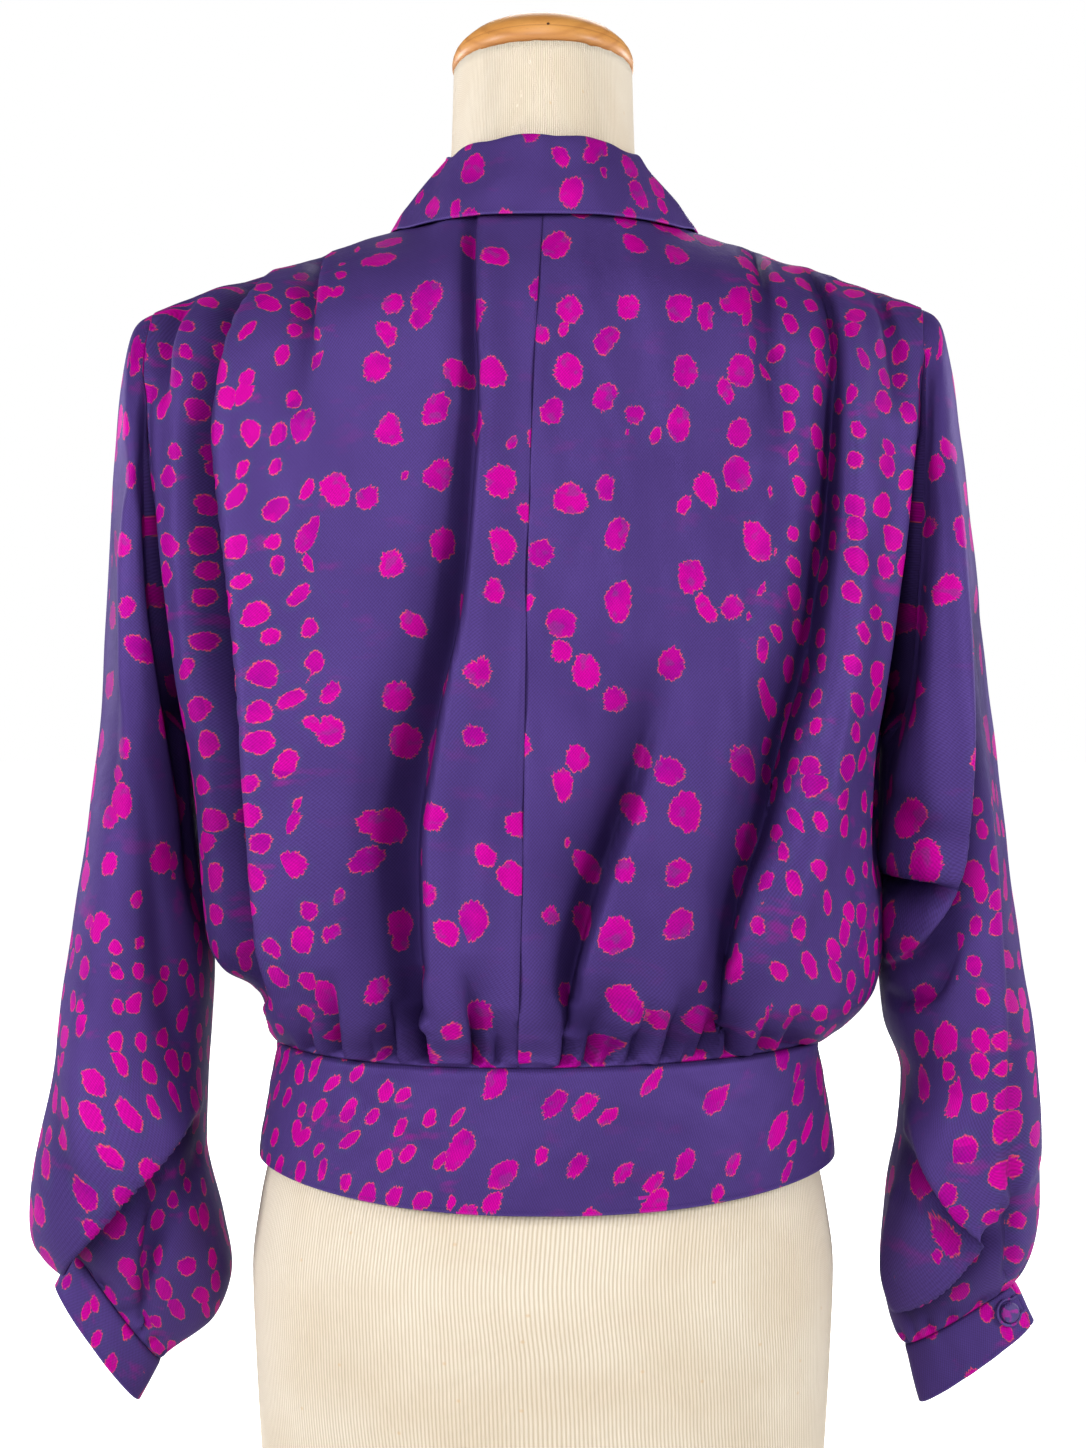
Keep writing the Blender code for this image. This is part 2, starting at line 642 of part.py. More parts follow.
def cuff_grid(side):
    around = 2 * ARMHOLE_ROWS
    turn = np.arange(around) * 2 * math.pi / around
    top = np.array(sleeve_table(side)[-1][1:], float)
    end = np.array(LEFT_CUFF_END if side > 0 else RIGHT_CUFF_END, float)
    return np.array([ring(top + (end - top) * t, turn, side) for t in (0, 0.5, 1)])


def band_hem(points):
    """The hem point under each point of the bodice's bottom edge."""
    angle = np.arctan2(points[:, 1] / HEM_BACK, points[:, 0] / HEM_LEFT)
    half = np.where(points[:, 0] > 0, HEM_LEFT, HEM_RIGHT)
    deep = np.where(points[:, 1] > 0, HEM_BACK, HEM_FRONT)
    x = half * signed_power(np.cos(angle), 2 / BODY_SQUARENESS)
    y = deep * signed_power(np.sin(angle), 2 / BODY_SQUARENESS)
    low = np.where(points[:, 1] > 0, HEM_BACK_Z, HEM_FRONT_Z)
    z = HEM_SIDE_Z + (low - HEM_SIDE_Z) * np.sin(angle) ** 2
    return np.stack([x, y, z], axis=-1)


def band_grid(panels):
    """The waistband, an open strip from the upper lap at the centre front round to the under lap."""
    left_front, left_back = panels[1, -1][-1], panels[1, 1][-1]
    right_front, right_back = panels[-1, -1][-1], panels[-1, 1][-1]
    top = np.concatenate([left_front, left_back[::-1][1:], right_back[1:], right_front[::-1][1:]])
    hem = band_hem(top)
    hem[0, 0], hem[-1, 0] = top[0, 0], top[-1, 0]
    under = ease(1 - (top[:, 0] - LAP_CLEAR) / LAP_RISE) * (np.arange(len(top)) < len(left_front))
    hem[:, 1] += LAP_STEP * under
    grid = np.array([top + (hem - top) * t for t in (0, 0.3, 0.7, 1)])
    sag = np.array([0, 1, 0.8, 0])[:, None] * BAND_SAG
    outward = hem / np.linalg.norm(hem[:, :2], axis=1)[:, None]
    grid[..., :2] += (sag[..., None] * outward[None, :, :2])
    return grid


def front_point(row, x, side):
    """A point on a front panel and its outward normal, at a row and a distance from the centre."""
    def at(r, d):
        return body_point(np.array(r), turn_at(np.array(d), np.array(r), side), side, -1)
    here = at(row, x)
    across = at(row, x + MM) - at(row, x - MM)
    down = at(row + 0.01, x) - at(row - 0.01, x)
    normal = np.cross(down, across) * side
    return here, normal / np.linalg.norm(normal)


def collar_station(seam, roll, edge, middle):
    """A section of the collar, from the neck seam up the stand, over the roll and down to the outer edge."""
    fall = middle[0] - roll
    stand = seam - roll
    away = fall / np.linalg.norm(fall) - stand / np.linalg.norm(stand)
    away /= max(np.linalg.norm(away), 1e-9)
    down = (fall / np.linalg.norm(fall) + stand / np.linalg.norm(stand))
    down /= max(np.linalg.norm(down), 1e-9)
    inner = roll - away * ROLL_RADIUS + down * ROLL_RADIUS
    outer = roll + away * ROLL_RADIUS + down * ROLL_RADIUS
    return [seam, (seam + inner) / 2, inner, roll, outer, *middle, edge]


def collar_side(panels, side):
    """The collar's sections on one side, from the centre back to the end of the front."""
    sections = []
    back = panels[side, 1][0]
    for j in range(NECK_COLUMNS + 1):
        seam = back[j]
        at = abs(seam[0]) / MM
        sideways, behind, up = (smooth(at, COLLAR_ROLL, k) for k in (1, 2, 3))
        x, y, z = (smooth(at, COLLAR_EDGE, k) for k in (1, 2, 3))
        roll = seam + np.array([side * sideways, behind, up]) * MM
        edge = np.array([side * x, y, z]) * MM
        round_the_neck = np.array([side * x / 93, y / 74, 0])
        bow = round_the_neck / np.linalg.norm(round_the_neck) * 2.0 * MM
        middle = [roll + (edge - roll) * t + bow for t in (0.36, 0.7)]
        foot = seam + np.array([0, 0, COLLAR_LOW])
        sections.append(collar_station(foot, roll, edge, middle))
    for row, inward, forward, up, width in COLLAR_FRONT:
        x_edge = smooth(row, FRONT_EDGE, 1) * MM
        seam, normal = front_point(row, x_edge, side)
        roll = seam + np.array([-side * inward, 0, up]) * MM + normal * forward * MM
        high = np.clip(up / 32, 0, 1)
        edge, edge_normal = front_point(row, x_edge + width * MM, side)
        edge = edge + edge_normal * COLLAR_LIFT
        middle = []
        for t in (0.36, 0.7):
            lying, lying_normal = front_point(row, x_edge + width * MM * t, side)
            lying = lying + lying_normal * (COLLAR_LIFT + 4 * MM * (1 - t) ** 2)
            straight = roll + (edge - roll) * t + normal * 2 * MM
            middle.append(lying * (1 - high) + straight * high)
        foot = seam + normal * COLLAR_LOW + np.array([-side * COLLAR_LOW, 0, 0])
        sections.append(collar_station(foot, roll, edge, middle))
    return sections


def collar_grid(panels):
    left, right = collar_side(panels, 1), collar_side(panels, -1)
    centre = [(a + b) / 2 for a, b in zip(left[0], right[0])]
    return np.array(left[:0:-1] + [centre] + right[1:])


def new_object(name, mesh_data):
    mesh = bpy.data.meshes.new(name)
    mesh_data.to_mesh(mesh)
    mesh_data.free()
    obj = bpy.data.objects.new(name, mesh)
    bpy.context.scene.collection.objects.link(obj)
    return obj


def grid_object(name, outer, inner, closed):
    """One closed wall between two grids of points, its rims closed too."""
    rows, columns = outer.shape[:2]
    shape = bmesh.new()
    faces_of = [[[shape.verts.new(p) for p in row] for row in grid] for grid in (outer, inner)]
    out, back = faces_of
    last = columns if closed else columns - 1
    for i in range(rows - 1):
        for j in range(last):
            k = (j + 1) % columns
            shape.faces.new((out[i][j], out[i + 1][j], out[i + 1][k], out[i][k]))
            shape.faces.new((back[i][j], back[i][k], back[i + 1][k], back[i + 1][j]))
    for i, flip in ((0, False), (rows - 1, True)):
        for j in range(last):
            k = (j + 1) % columns
            rim = [out[i][j], out[i][k], back[i][k], back[i][j]]
            shape.faces.new(rim[::-1] if flip else rim)
    if not closed:
        for j, flip in ((0, True), (columns - 1, False)):
            for i in range(rows - 1):
                rim = [out[i][j], out[i + 1][j], back[i + 1][j], back[i][j]]
                shape.faces.new(rim if not flip else rim[::-1])
    bmesh.ops.recalc_face_normals(shape, faces=shape.faces)
    if shape.calc_volume(signed=True) < 0:
        bmesh.ops.reverse_faces(shape, faces=shape.faces)
    return new_object(name, shape)


def shared_normals(grids):
    """Outward normals of every piece's points, the same for pieces that meet at a seam."""
    sums = {}
    keys = {}
    for name, (grid, closed, sign, _) in grids.items():
        normal = grid_normals(grid, closed) * sign
        keys[name] = [[tuple(np.round(p / (0.02 * MM)).astype(int)) for p in row] for row in grid]
        for row_keys, row_normals in zip(keys[name], normal):
            for key, n in zip(row_keys, row_normals):
                sums[key] = sums.get(key, np.zeros(3)) + n
    found = {}
    for name, row_keys in keys.items():
        total = np.array([[sums[key] for key in row] for row in row_keys])
        found[name] = total / np.maximum(np.linalg.norm(total, axis=-1, keepdims=True), 1e-9)
    return found


def pull_back(grid, closed, first, last):
    """The piece's edges drawn in a little, so that it stays clear of what it is sewn to."""
    grid = grid.copy()
    def toward(edge, inside, gap):
        step = inside - edge
        return edge + step / np.linalg.norm(step, axis=-1, keepdims=True) * gap
    if not closed:
        grid[:, 0] = toward(grid[:, 0], grid[:, 1], SEAM * 0.7)
        grid[:, -1] = toward(grid[:, -1], grid[:, -2], SEAM * 0.7)
    grid[0] = toward(grid[0], grid[1], first)
    grid[-1] = toward(grid[-1], grid[-2], last)
    return grid


def material(name, colour, roughness):
    made = bpy.data.materials.new(name)
    made.use_nodes = True
    shader = made.node_tree.nodes["Principled BSDF"]
    shader.inputs["Base Color"].default_value = (*colour, 1)
    shader.inputs["Roughness"].default_value = roughness
    shader.inputs["Metallic"].default_value = 0.0
    return made


def dress_form():
    """The torso, turned through its rows and closed at the neck and at the flat underside."""
    shape = bmesh.new()
    loops = []
    for z, half, back, front, square, tilt in FORM_ROWS:
        loop = []
        for j in range(FORM_COLUMNS):
            a = 2 * math.pi * j / FORM_COLUMNS
            x = half * math.copysign(abs(math.cos(a)) ** (2 / square), math.cos(a))
            deep = back if math.sin(a) > 0 else front
            y = deep * math.copysign(abs(math.sin(a)) ** (2 / square), math.sin(a))
            loop.append(shape.verts.new((x * MM, y * MM, (z + y * math.tan(math.radians(tilt))) * MM)))
        loops.append(loop)
    for low, high in zip(loops[:-1], loops[1:]):
        for j in range(FORM_COLUMNS):
            k = (j + 1) % FORM_COLUMNS
            shape.faces.new((low[j], low[k], high[k], high[j]))
    shape.faces.new(loops[0][::-1])
    shape.faces.new(loops[-1])
    return new_object("form_torso", shape)


def neck_cap():
    """The wooden cap, its profile spun about its own axis, then tilted with the neck."""
    shape = bmesh.new()
    profile = [shape.verts.new((r * MM, 0, h * MM)) for r, h in CAP_PROFILE]
    edges = [shape.edges.new(pair) for pair in zip(profile[:-1], profile[1:])]
    bmesh.ops.spin(
        shape, geom=profile + edges, cent=(0, 0, 0), axis=(0, 0, 1),
        angle=2 * math.pi, steps=CAP_SEGMENTS, use_merge=True,
    )
    bmesh.ops.remove_doubles(shape, verts=shape.verts, dist=0.01 * MM)
    rim = [e for e in shape.edges if e.is_boundary]
    bmesh.ops.contextual_create(shape, geom=rim)
    bmesh.ops.recalc_face_normals(shape, faces=shape.faces)
    cap = new_object("form_neck_cap", shape)
    neck = FORM_ROWS[-1]
    cap.location = (0, (neck[2] - neck[3]) / 2 * MM, (neck[0] + 0.1) * MM)
    cap.rotation_euler.x = math.radians(CAP_TILT)
    return cap


def button(name, place, outward):
    """A covered button, a flattened ball lying on the cloth."""
    bpy.ops.mesh.primitive_uv_sphere_add(segments=10, ring_count=6, radius=BUTTON_RADIUS)
    made = bpy.context.object
    made.name = name
    made.data.name = name
    made.scale.z = BUTTON_THICK / 2 / BUTTON_RADIUS
    bpy.ops.object.transform_apply(location=False, rotation=False, scale=True)
    n = np.array(outward) / np.linalg.norm(outward)
    made.location = place + n * (BUTTON_THICK / 2 + SEAM)
    made.rotation_mode = "QUATERNION"
    from_z = np.array([-n[1], n[0], 0.0])
    angle = math.acos(np.clip(n[2], -1, 1))
    axis = from_z / max(np.linalg.norm(from_z), 1e-9)
    made.rotation_quaternion = (math.cos(angle / 2), *(axis * math.sin(angle / 2)))
    return made


def at_centre(grid, k):
    """Where a row of the upper lap crosses the centre, and the cloth's outward normal there."""
    row = grid[k]
    j = int(np.argmax(row[:-1, 0] * row[1:, 0] <= 0))
    share = row[j, 0] / (row[j, 0] - row[j + 1, 0])
    across = row[j + 1] - row[j]
    down = grid[k + 1, j] - grid[k - 1, j]
    normal = np.cross(across, down)
    normal *= -np.sign(normal[1])
    return row[j] + across * share, normal / np.linalg.norm(normal)


def lap_buttons(panels, band):
    """Buttons down the centre front of the upper lap and of the band."""
    made = []
    front = panels[-1, -1]
    for i, height in enumerate(FRONT_BUTTONS):
        k = int(np.argmin(np.abs(front[:, 0, 2] - height * MM)))
        made.append(button(f"button_front_{i + 1}", *at_centre(front, k)))
    upper_lap = band[:, -5:]
    for k in (1, 2):
        made.append(button(f"button_band_{k}", *at_centre(upper_lap, k)))
    return made


def tube(name, path, radius, up):
    """A cord along a path that lies flat across a direction."""
    shape = bmesh.new()
    loops = []
    for i, point in enumerate(path):
        run = path[min(i + 1, len(path) - 1)] - path[max(i - 1, 0)]
        run /= np.linalg.norm(run)
        aside = np.cross(run, up)
        loop = []
        for k in range(LOOP_SIDES):
            a = 2 * math.pi * k / LOOP_SIDES
            loop.append(shape.verts.new(point + (aside * math.cos(a) + up * math.sin(a)) * radius))
        loops.append(loop)
    for one, two in zip(loops[:-1], loops[1:]):
        for k in range(LOOP_SIDES):
            m = (k + 1) % LOOP_SIDES
            shape.faces.new((one[k], one[m], two[m], two[k]))
    shape.faces.new(loops[0][::-1])
    shape.faces.new(loops[-1])
    bmesh.ops.recalc_face_normals(shape, faces=shape.faces)
    return new_object(name, shape)


def cuff_fastening(side, word):
    """A covered button near the cuff's outer end, with its loop. The left one is out of sight, in front."""
    turn = math.radians(CUFF_BUTTON_TURN) * (1 if side < 0 else -1)
    top = np.array(sleeve_table(side)[-1][1:], float)
    end = np.array(LEFT_CUFF_END if side > 0 else RIGHT_CUFF_END, float)
    def at(share, angle):
        return ring(top + (end - top) * share, np.array(angle), side)
    place = at(CUFF_BUTTON_SHARE, turn)
    across = at(CUFF_BUTTON_SHARE, turn + 0.05) - at(CUFF_BUTTON_SHARE, turn - 0.05)
    down = at(CUFF_BUTTON_SHARE + 0.05, turn) - at(CUFF_BUTTON_SHARE - 0.05, turn)
    normal = np.cross(down, across) * side
    normal /= np.linalg.norm(normal)
    outward = at(CUFF_BUTTON_SHARE, 0.0) - at(CUFF_BUTTON_SHARE, math.pi)
    outward -= normal * (outward @ normal)
    outward /= np.linalg.norm(outward)
    sideways = np.cross(normal, outward)
    centre = place + normal * (LOOP_CORD + SEAM)
    spread = math.radians(LOOP_OPENING)
    path = [centre + outward * LOOP_LEG + sideways * LOOP_RADIUS * math.sin(spread)]
    for i in range(LOOP_POINTS):
        a = spread + (2 * math.pi - 2 * spread) * i / (LOOP_POINTS - 1)
        path.append(centre + (outward * math.cos(a) + sideways * math.sin(a)) * LOOP_RADIUS)
    path.append(centre + outward * LOOP_LEG - sideways * LOOP_RADIUS * math.sin(spread))
    knob = button(f"button_cuff_{word}", place, normal)
    cord = tube(f"loop_cuff_{word}", path, LOOP_CORD, normal)
    return [knob, cord]


def clear_scene():
    for obj in list(bpy.data.objects):
        bpy.data.objects.remove(obj, do_unlink=True)


def main():
    clear_scene()
    cloth = material("printed_satin", (0.10, 0.06, 0.26), 0.45)
    cover = material("cream_cover", (0.80, 0.74, 0.62), 0.85)
    wood = material("varnished_wood", (0.52, 0.26, 0.08), 0.35)

    panels = {(side, face): bodice_panel(side, face) for side in (1, -1) for face in (1, -1)}
    side_word, face_word = {1: "left", -1: "right"}, {1: "back", -1: "front"}
    grids = {}
    for (side, face), grid in panels.items():
        grids[f"{face_word[face]}_{side_word[side]}"] = (grid, False, side * -face, CLOTH)
    for side in (1, -1):
        grids[f"sleeve_{side_word[side]}"] = (sleeve_grid(side), True, side, CLOTH)
        grids[f"cuff_{side_word[side]}"] = (cuff_grid(side), True, side, CUFF_CLOTH)
    band = band_grid(panels)
    grids["waistband"] = (band, False, 1, BAND_CLOTH)
    normals = shared_normals(grids)
    grids["collar"] = (collar_grid(panels), False, -1, CLOTH)
    normals |= shared_normals({"collar": grids["collar"]})
    for name, (grid, closed, _, thick) in grids.items():
        first, last = EDGE_GAPS.get(name.split("_")[0], (SEAM * 0.7, SEAM * 0.7))
        if name.startswith("sleeve"):
            round_the_arm = np.arange(grid.shape[1]) * 2 * math.pi / grid.shape[1]
            first = (first + UNDERARM_GAP * np.clip(-np.cos(round_the_arm), 0, 1) ** 4)[:, None]
        outer = pull_back(grid, closed, first, last)
        made = grid_object(name, outer, outer - normals[name] * thick, closed)
        made.data.shade_smooth()
        made.data.materials.append(cloth)
    fastenings = lap_buttons(panels, band)
    for side in (1, -1):
        fastenings += cuff_fastening(side, side_word[side])
    for made in fastenings:
        made.data.materials.append(cloth)
    torso = dress_form()
    torso.data.materials.append(cover)
    cap = neck_cap()
    cap.data.materials.append(wood)


main()
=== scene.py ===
"""A printed satin blouse worn by a limbless dress form, seen from the back.

Metres, +Z up. The blouse's front faces -Y, its back +Y, and the wearer's left is +X.
"""

import math

import bmesh
import bpy
import numpy as np
from mathutils import Matrix, Vector


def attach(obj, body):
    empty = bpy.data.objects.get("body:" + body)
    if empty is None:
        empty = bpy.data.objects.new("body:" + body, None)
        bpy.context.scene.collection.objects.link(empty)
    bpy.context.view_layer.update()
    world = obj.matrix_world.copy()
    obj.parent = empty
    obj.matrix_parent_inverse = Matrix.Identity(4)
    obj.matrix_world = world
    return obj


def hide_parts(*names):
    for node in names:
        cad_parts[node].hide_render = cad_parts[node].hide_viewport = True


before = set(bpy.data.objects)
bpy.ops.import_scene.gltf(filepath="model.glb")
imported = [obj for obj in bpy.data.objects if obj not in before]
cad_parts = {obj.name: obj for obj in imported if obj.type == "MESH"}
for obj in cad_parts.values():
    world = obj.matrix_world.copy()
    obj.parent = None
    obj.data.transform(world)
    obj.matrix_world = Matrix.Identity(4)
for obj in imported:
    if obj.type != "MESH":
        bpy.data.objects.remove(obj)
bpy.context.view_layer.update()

MM = 0.001
UP = np.array([0.0, 0.0, 1.0])

# The wearer's sides and the bodice's panels, by side and face
SIDES = {1: "left", -1: "right"}
PANELS = {(1, 1): "back_left", (1, -1): "front_left", (-1, 1): "back_right", (-1, -1): "front_right"}

# How finely the cloth is divided
NECK_COLUMNS = 36
SHOULDER_COLUMNS = 98
BACK_COLUMNS = NECK_COLUMNS + SHOULDER_COLUMNS
ARMHOLE_ROWS = 98
LOWER_ROWS = 104
SLEEVE_ROWS = 164
CUFF_ROWS = 16
BAND_ROWS = 22
COLLAR_STEPS = 6
COLUMN_SPREAD = 1.25  # 1 crowds the columns at a panel's side edge
EDGE_COLUMNS = 14
UNDERARM_SOFT_ROWS = 26
UNDERARM_ROUNDS = 60
UPPER_LAP_COLUMNS = 60

# Cloth
SATIN = 0.55 * MM
DOUBLE = 1.1 * MM  # cuffs, band and collar are folded double
SEAM_DIP = 0.7 * MM
SEAM_WIDTH = 1.7 * MM
HEM_RADIUS = 0.7 * MM
HEM_TURN = 9 * MM
FAR = 20 * MM  # stands for no seam or hem nearby
RIPPLE_WAVES = 9
BAND_PUFF = 1.6 * MM
PUFF_REACH = 26 * MM

# How far from a piece's edges its folds and ripples fade
SIDE_FADE = 7 * MM
BAND_FADE = 4 * MM
SHOULDER_FADE = 5 * MM
ARMHOLE_FADE = 9 * MM
CUFF_FADE = 5 * MM
# The pleats start at the shoulder seam with a share of their depth
PLEAT_START = 0.35
PLEAT_RUN = 20 * MM

# Where the spots get small and close, and over what distance
BODY_SMALL_FROM, BODY_SMALL_RUN = 104 * MM, 42 * MM
SMALL_WAVER = 9 * MM
YOKE_SMALL_ABOVE, YOKE_SMALL_RISE = 700 * MM, 50 * MM
YOKE_SMALL_FROM, YOKE_SMALL_RUN = 90 * MM, 30 * MM
YOKE_SHARE = 0.75
SLEEVE_SMALL_BELOW, SLEEVE_SMALL_DROP = 455 * MM, 150 * MM
SLEEVE_TOP_ABOVE, SLEEVE_TOP_RISE = 640 * MM, 60 * MM
SLEEVE_TOP_SHARE = 0.6
OUTER_SMALL_FROM, OUTER_SMALL_RUN = 226 * MM, 24 * MM
OUTER_SMALL_BELOW, OUTER_SMALL_DROP = 510 * MM, 110 * MM
CUFF_SHARE = 0.55
COLLAR_SHARE = 0.12
# The print is drawn together on the outer side of the right sleeve
SQUEEZE = 0.7
SQUEEZE_FROM = 258 * MM
SQUEEZE_BELOW, SQUEEZE_DROP = 470 * MM, 60 * MM

# Painted shade on the cloth where the body and the sleeves meet
SIDE_SHADE, SIDE_SHADE_REACH = 0.4, 16 * MM
SIDE_SHADE_BELOW, SIDE_SHADE_DROP = 690 * MM, 60 * MM
SLEEVE_SHADE, SLEEVE_SHADE_FROM, SLEEVE_SHADE_RUN = 0.45, 0.72, 0.25
SLEEVE_SHADE_ABOVE, SLEEVE_SHADE_RISE = 330 * MM, 40 * MM

# Folds
OVERHANG = 0.34  # how far a fold's crisp edge stands over its hollow, as a share of the depth
MOST_OVERHANG = 4.5 * MM
CRISP_WIDTH = 5 * MM  # a hollow whose narrow side is wider than this has no crisp edge
CRISP_CHANGE = 2 * MM
BROW = 0.10  # how far the cloth beside a crisp edge stands out, as a share of the depth
CROWDED_REACH = 11 * MM  # columns within this distance of a hollow's line are drawn towards it
LAP_CROWDED_REACH = 13 * MM
LAP_REACH = 46 * MM
LAP_EDGE = 0.8 * MM
LAP_LEAN = 0.3
LAP_CRISP_HEIGHT = 3 * MM
LAP_PUSH_REACH = 5 * MM
# Painted shade below a lap's edge: the height that gives its full darkness, and its reach
LAP_SHADE_HEIGHT = 10 * MM
LAP_SHADE_REACH = 15 * MM
TRACE_STEP = 5 * MM
HIDDEN_CLOTH = 1.3  # how much cloth a fold hides, as a share of its depth
LAP_HIDDEN_CLOTH = 1.6
PRINT_REACH = 45 * MM  # how far from a fold the print has taken up what the fold hides
# Painted shade in hollows: the depth that gets the darkest shade, and how much wider than the hollow it
# spreads
SHADE_DEPTH = 13 * MM  # a hollow this deep is as dark as hollows get
SHADE_SPREAD = 0.6 * MM
# Along a gather, from the seam up: share of its length, of its depth and of its width
GATHER_SHAPE = ((0, 0.8, 0.8), (0.2, 1, 1), (0.55, 0.65, 1.7), (1, 0, 2.8))
BACK_SEAM_HEIGHT = 291
FRONT_SEAM_HEIGHT = 293

# Bodice
NECK_HALF = 66 * MM
SHOULDER_ROLL = 62 * MM
ARMHOLE_MIDDLE = 604 * MM
ARMHOLE_HALF = 127 * MM
ARMHOLE_BACK = 62 * MM
ARMHOLE_FRONT = 54 * MM
SHOULDER_Y = -2 * MM
LAP_STEP = 2.8 * MM
LAP_CLEAR = 24 * MM
LAP_RISE = 16 * MM
UNDER_LAP_ROW, UNDER_LAP_RUN = 0.45, 0.1
UPPER_LAP = 6 * MM  # the folds of the upper front start this much further from its edge
LAP_FADE = 22 * MM
LOWER_HEIGHTS = (478, 450, 420, 392, 368, 348, 332, 318, 307, 299)

# Side edge: height, reach to the wearer's left, reach to the right
SIDE_REACH = (
    (299, 157, 163), (308, 163, 181), (318, 166, 190), (330, 172, 197), (345, 186, 200),
    (359, 195, 201), (375, 199, 201), (407, 204, 200), (450, 209, 200.8), (478, 213, 202.6),
    (500, 216, 204), (550, 223, 207), (600, 228, 213), (650, 231, 218), (700, 233, 222),
    (731, 232, 226),
)
# Centre line: height, back depth, front depth
CENTRE_DEPTH = (
    (280, 112, 103), (300, 115, 106), (312, 124, 114), (330, 131, 121), (360, 134, 127),
    (400, 132, 129), (450, 128, 129), (500, 124, 131), (550, 121, 133), (600, 118, 132),
    (650, 113, 125), (700, 105, 116), (740, 93, 102), (770, 79, 88), (791, 70, 76),
)
# Beside the armhole and under it: height, depth
SIDE_DEPTH = (
    (340, 2), (400, 8), (450, 24), (500, 43), (550, 56), (604, 61), (650, 57), (700, 38), (731, 2),
)
# How far the centre lies above the side edge: side height, at the back, at the front
CENTRE_LIFT = ((299, -5, -3), (340, -4, -1), (400, 0, 2), (478, 4, 6), (600, 22, 22), (731, 60, 60))
# Shoulder line: distance from the centre, height, depth
SHOULDER_LINE = (
    (0, 790.5, 60), (20, 790.5, 58), (40, 790, 49), (55, 788, 32), (66, 786, 8), (80, 782, 1),
    (98, 776, -1), (140, 763, -2), (188, 748, -2), (215, 739, -2), (234, 731, -2),
)
# Front edge, from the neck down: row, distance from the centre
FRONT_EDGE = (
    (0.00, 66), (0.10, 66), (0.20, 61), (0.30, 51), (0.40, 34), (0.50, 14), (0.56, 0), (0.64, -13),
    (2.00, -13),
)
ROW_SQUARENESS = ((0.0, 2.3), (0.5, 2.5), (1.0, 3.0), (1.7, 2.9), (2.0, 2.3))
ARMHOLE_CURVE = 2.6
SEAM_DRIFT = ((296, 14), (416, 11), (554, 9), (683, 5), (778, 0))

# Folds of the back, each along its own line: x, height, depth, width to the left, width to the right.
# A fold is a hollow whose narrow side is the crisp edge of the cloth that stands over it.
BACK_FOLDS = {
    "neck": ((37, 789, 1.0, 6, 1.6), (38, 770, 6, 8, 1.8), (37, 724, 8, 9, 2.0),
             (35, 671, 8.5, 11, 2.2), (38, 609, 11, 14, 2.6), (43, 554, 14, 18, 3),
             (54, 504, 17, 22, 3.4), (63, 466, 20, 25, 4), (69, 416, 22, 28, 4), (68, 367, 20, 27, 4),
             (62, 325, 12, 22, 3.6)),
    "left_shoulder": ((127, 768, 0, 6, 2), (130, 757, 6, 9, 2.2), (130, 726, 7, 11, 2.6),
                      (134, 693, 4, 12, 5), (137, 655, 0, 14, 8)),
    "left_long": ((162, 757, 0, 6, 2), (167, 749, 7, 8, 2.2), (178, 727, 10, 10, 2.4),
                  (186, 690, 12, 11, 2.8), (189, 650, 15, 13, 2.6), (185, 613, 18, 15, 2.6),
                  (180, 578, 21, 17, 2.6), (173, 527, 25, 20, 2.6), (168, 471, 28, 23, 2.8),
                  (165, 414, 28, 23, 3), (162, 368, 20, 21, 3), (160, 330, 7, 15, 4)),
    "left_tip": ((205, 740, 0, 5, 3), (214, 725, 5, 7, 3), (218, 700, 6, 8, 3.4), (219, 668, 0, 8, 5)),
    "right_shoulder": ((-122, 769, 0, 5, 2), (-128, 757, 6, 6, 3), (-129, 731, 6, 8, 4),
                       (-129, 695, 6, 10, 5), (-127, 630, 0, 12, 10)),
    "right_long": ((-154, 757, 0, 6, 2), (-162, 745, 6, 8, 2), (-169, 725, 8, 9, 2.2),
                   (-172, 690, 10, 11, 2.4), (-171, 645, 13, 13, 2.4), (-169, 601, 16, 16, 2.4),
                   (-165, 561, 19, 20, 2.6), (-160, 527, 22, 23, 2.8), (-151, 493, 24, 26, 2.8),
                   (-142, 460, 25, 28, 3), (-131, 421, 23, 27, 3), (-116, 388, 20, 24, 3.4),
                   (-106, 350, 15, 18, 3.2), (-100, 318, 9, 13, 3)),
    "right_tip": ((-196, 746, 0, 5, 3), (-203, 728, 5, 6, 3), (-206, 700, 5, 7, 4),
                  (-205, 660, 0, 8, 6)),
    "right_soft": ((-68, 530, 0, 12, 10), (-56, 477, 9, 16, 6), (-47, 443, 14, 17, 5),
                   (-34, 405, 17, 18, 4.5), (-25, 372, 18, 17, 4), (-18, 339, 16, 13, 3.4),
                   (-14, 318, 9, 10, 3)),
}
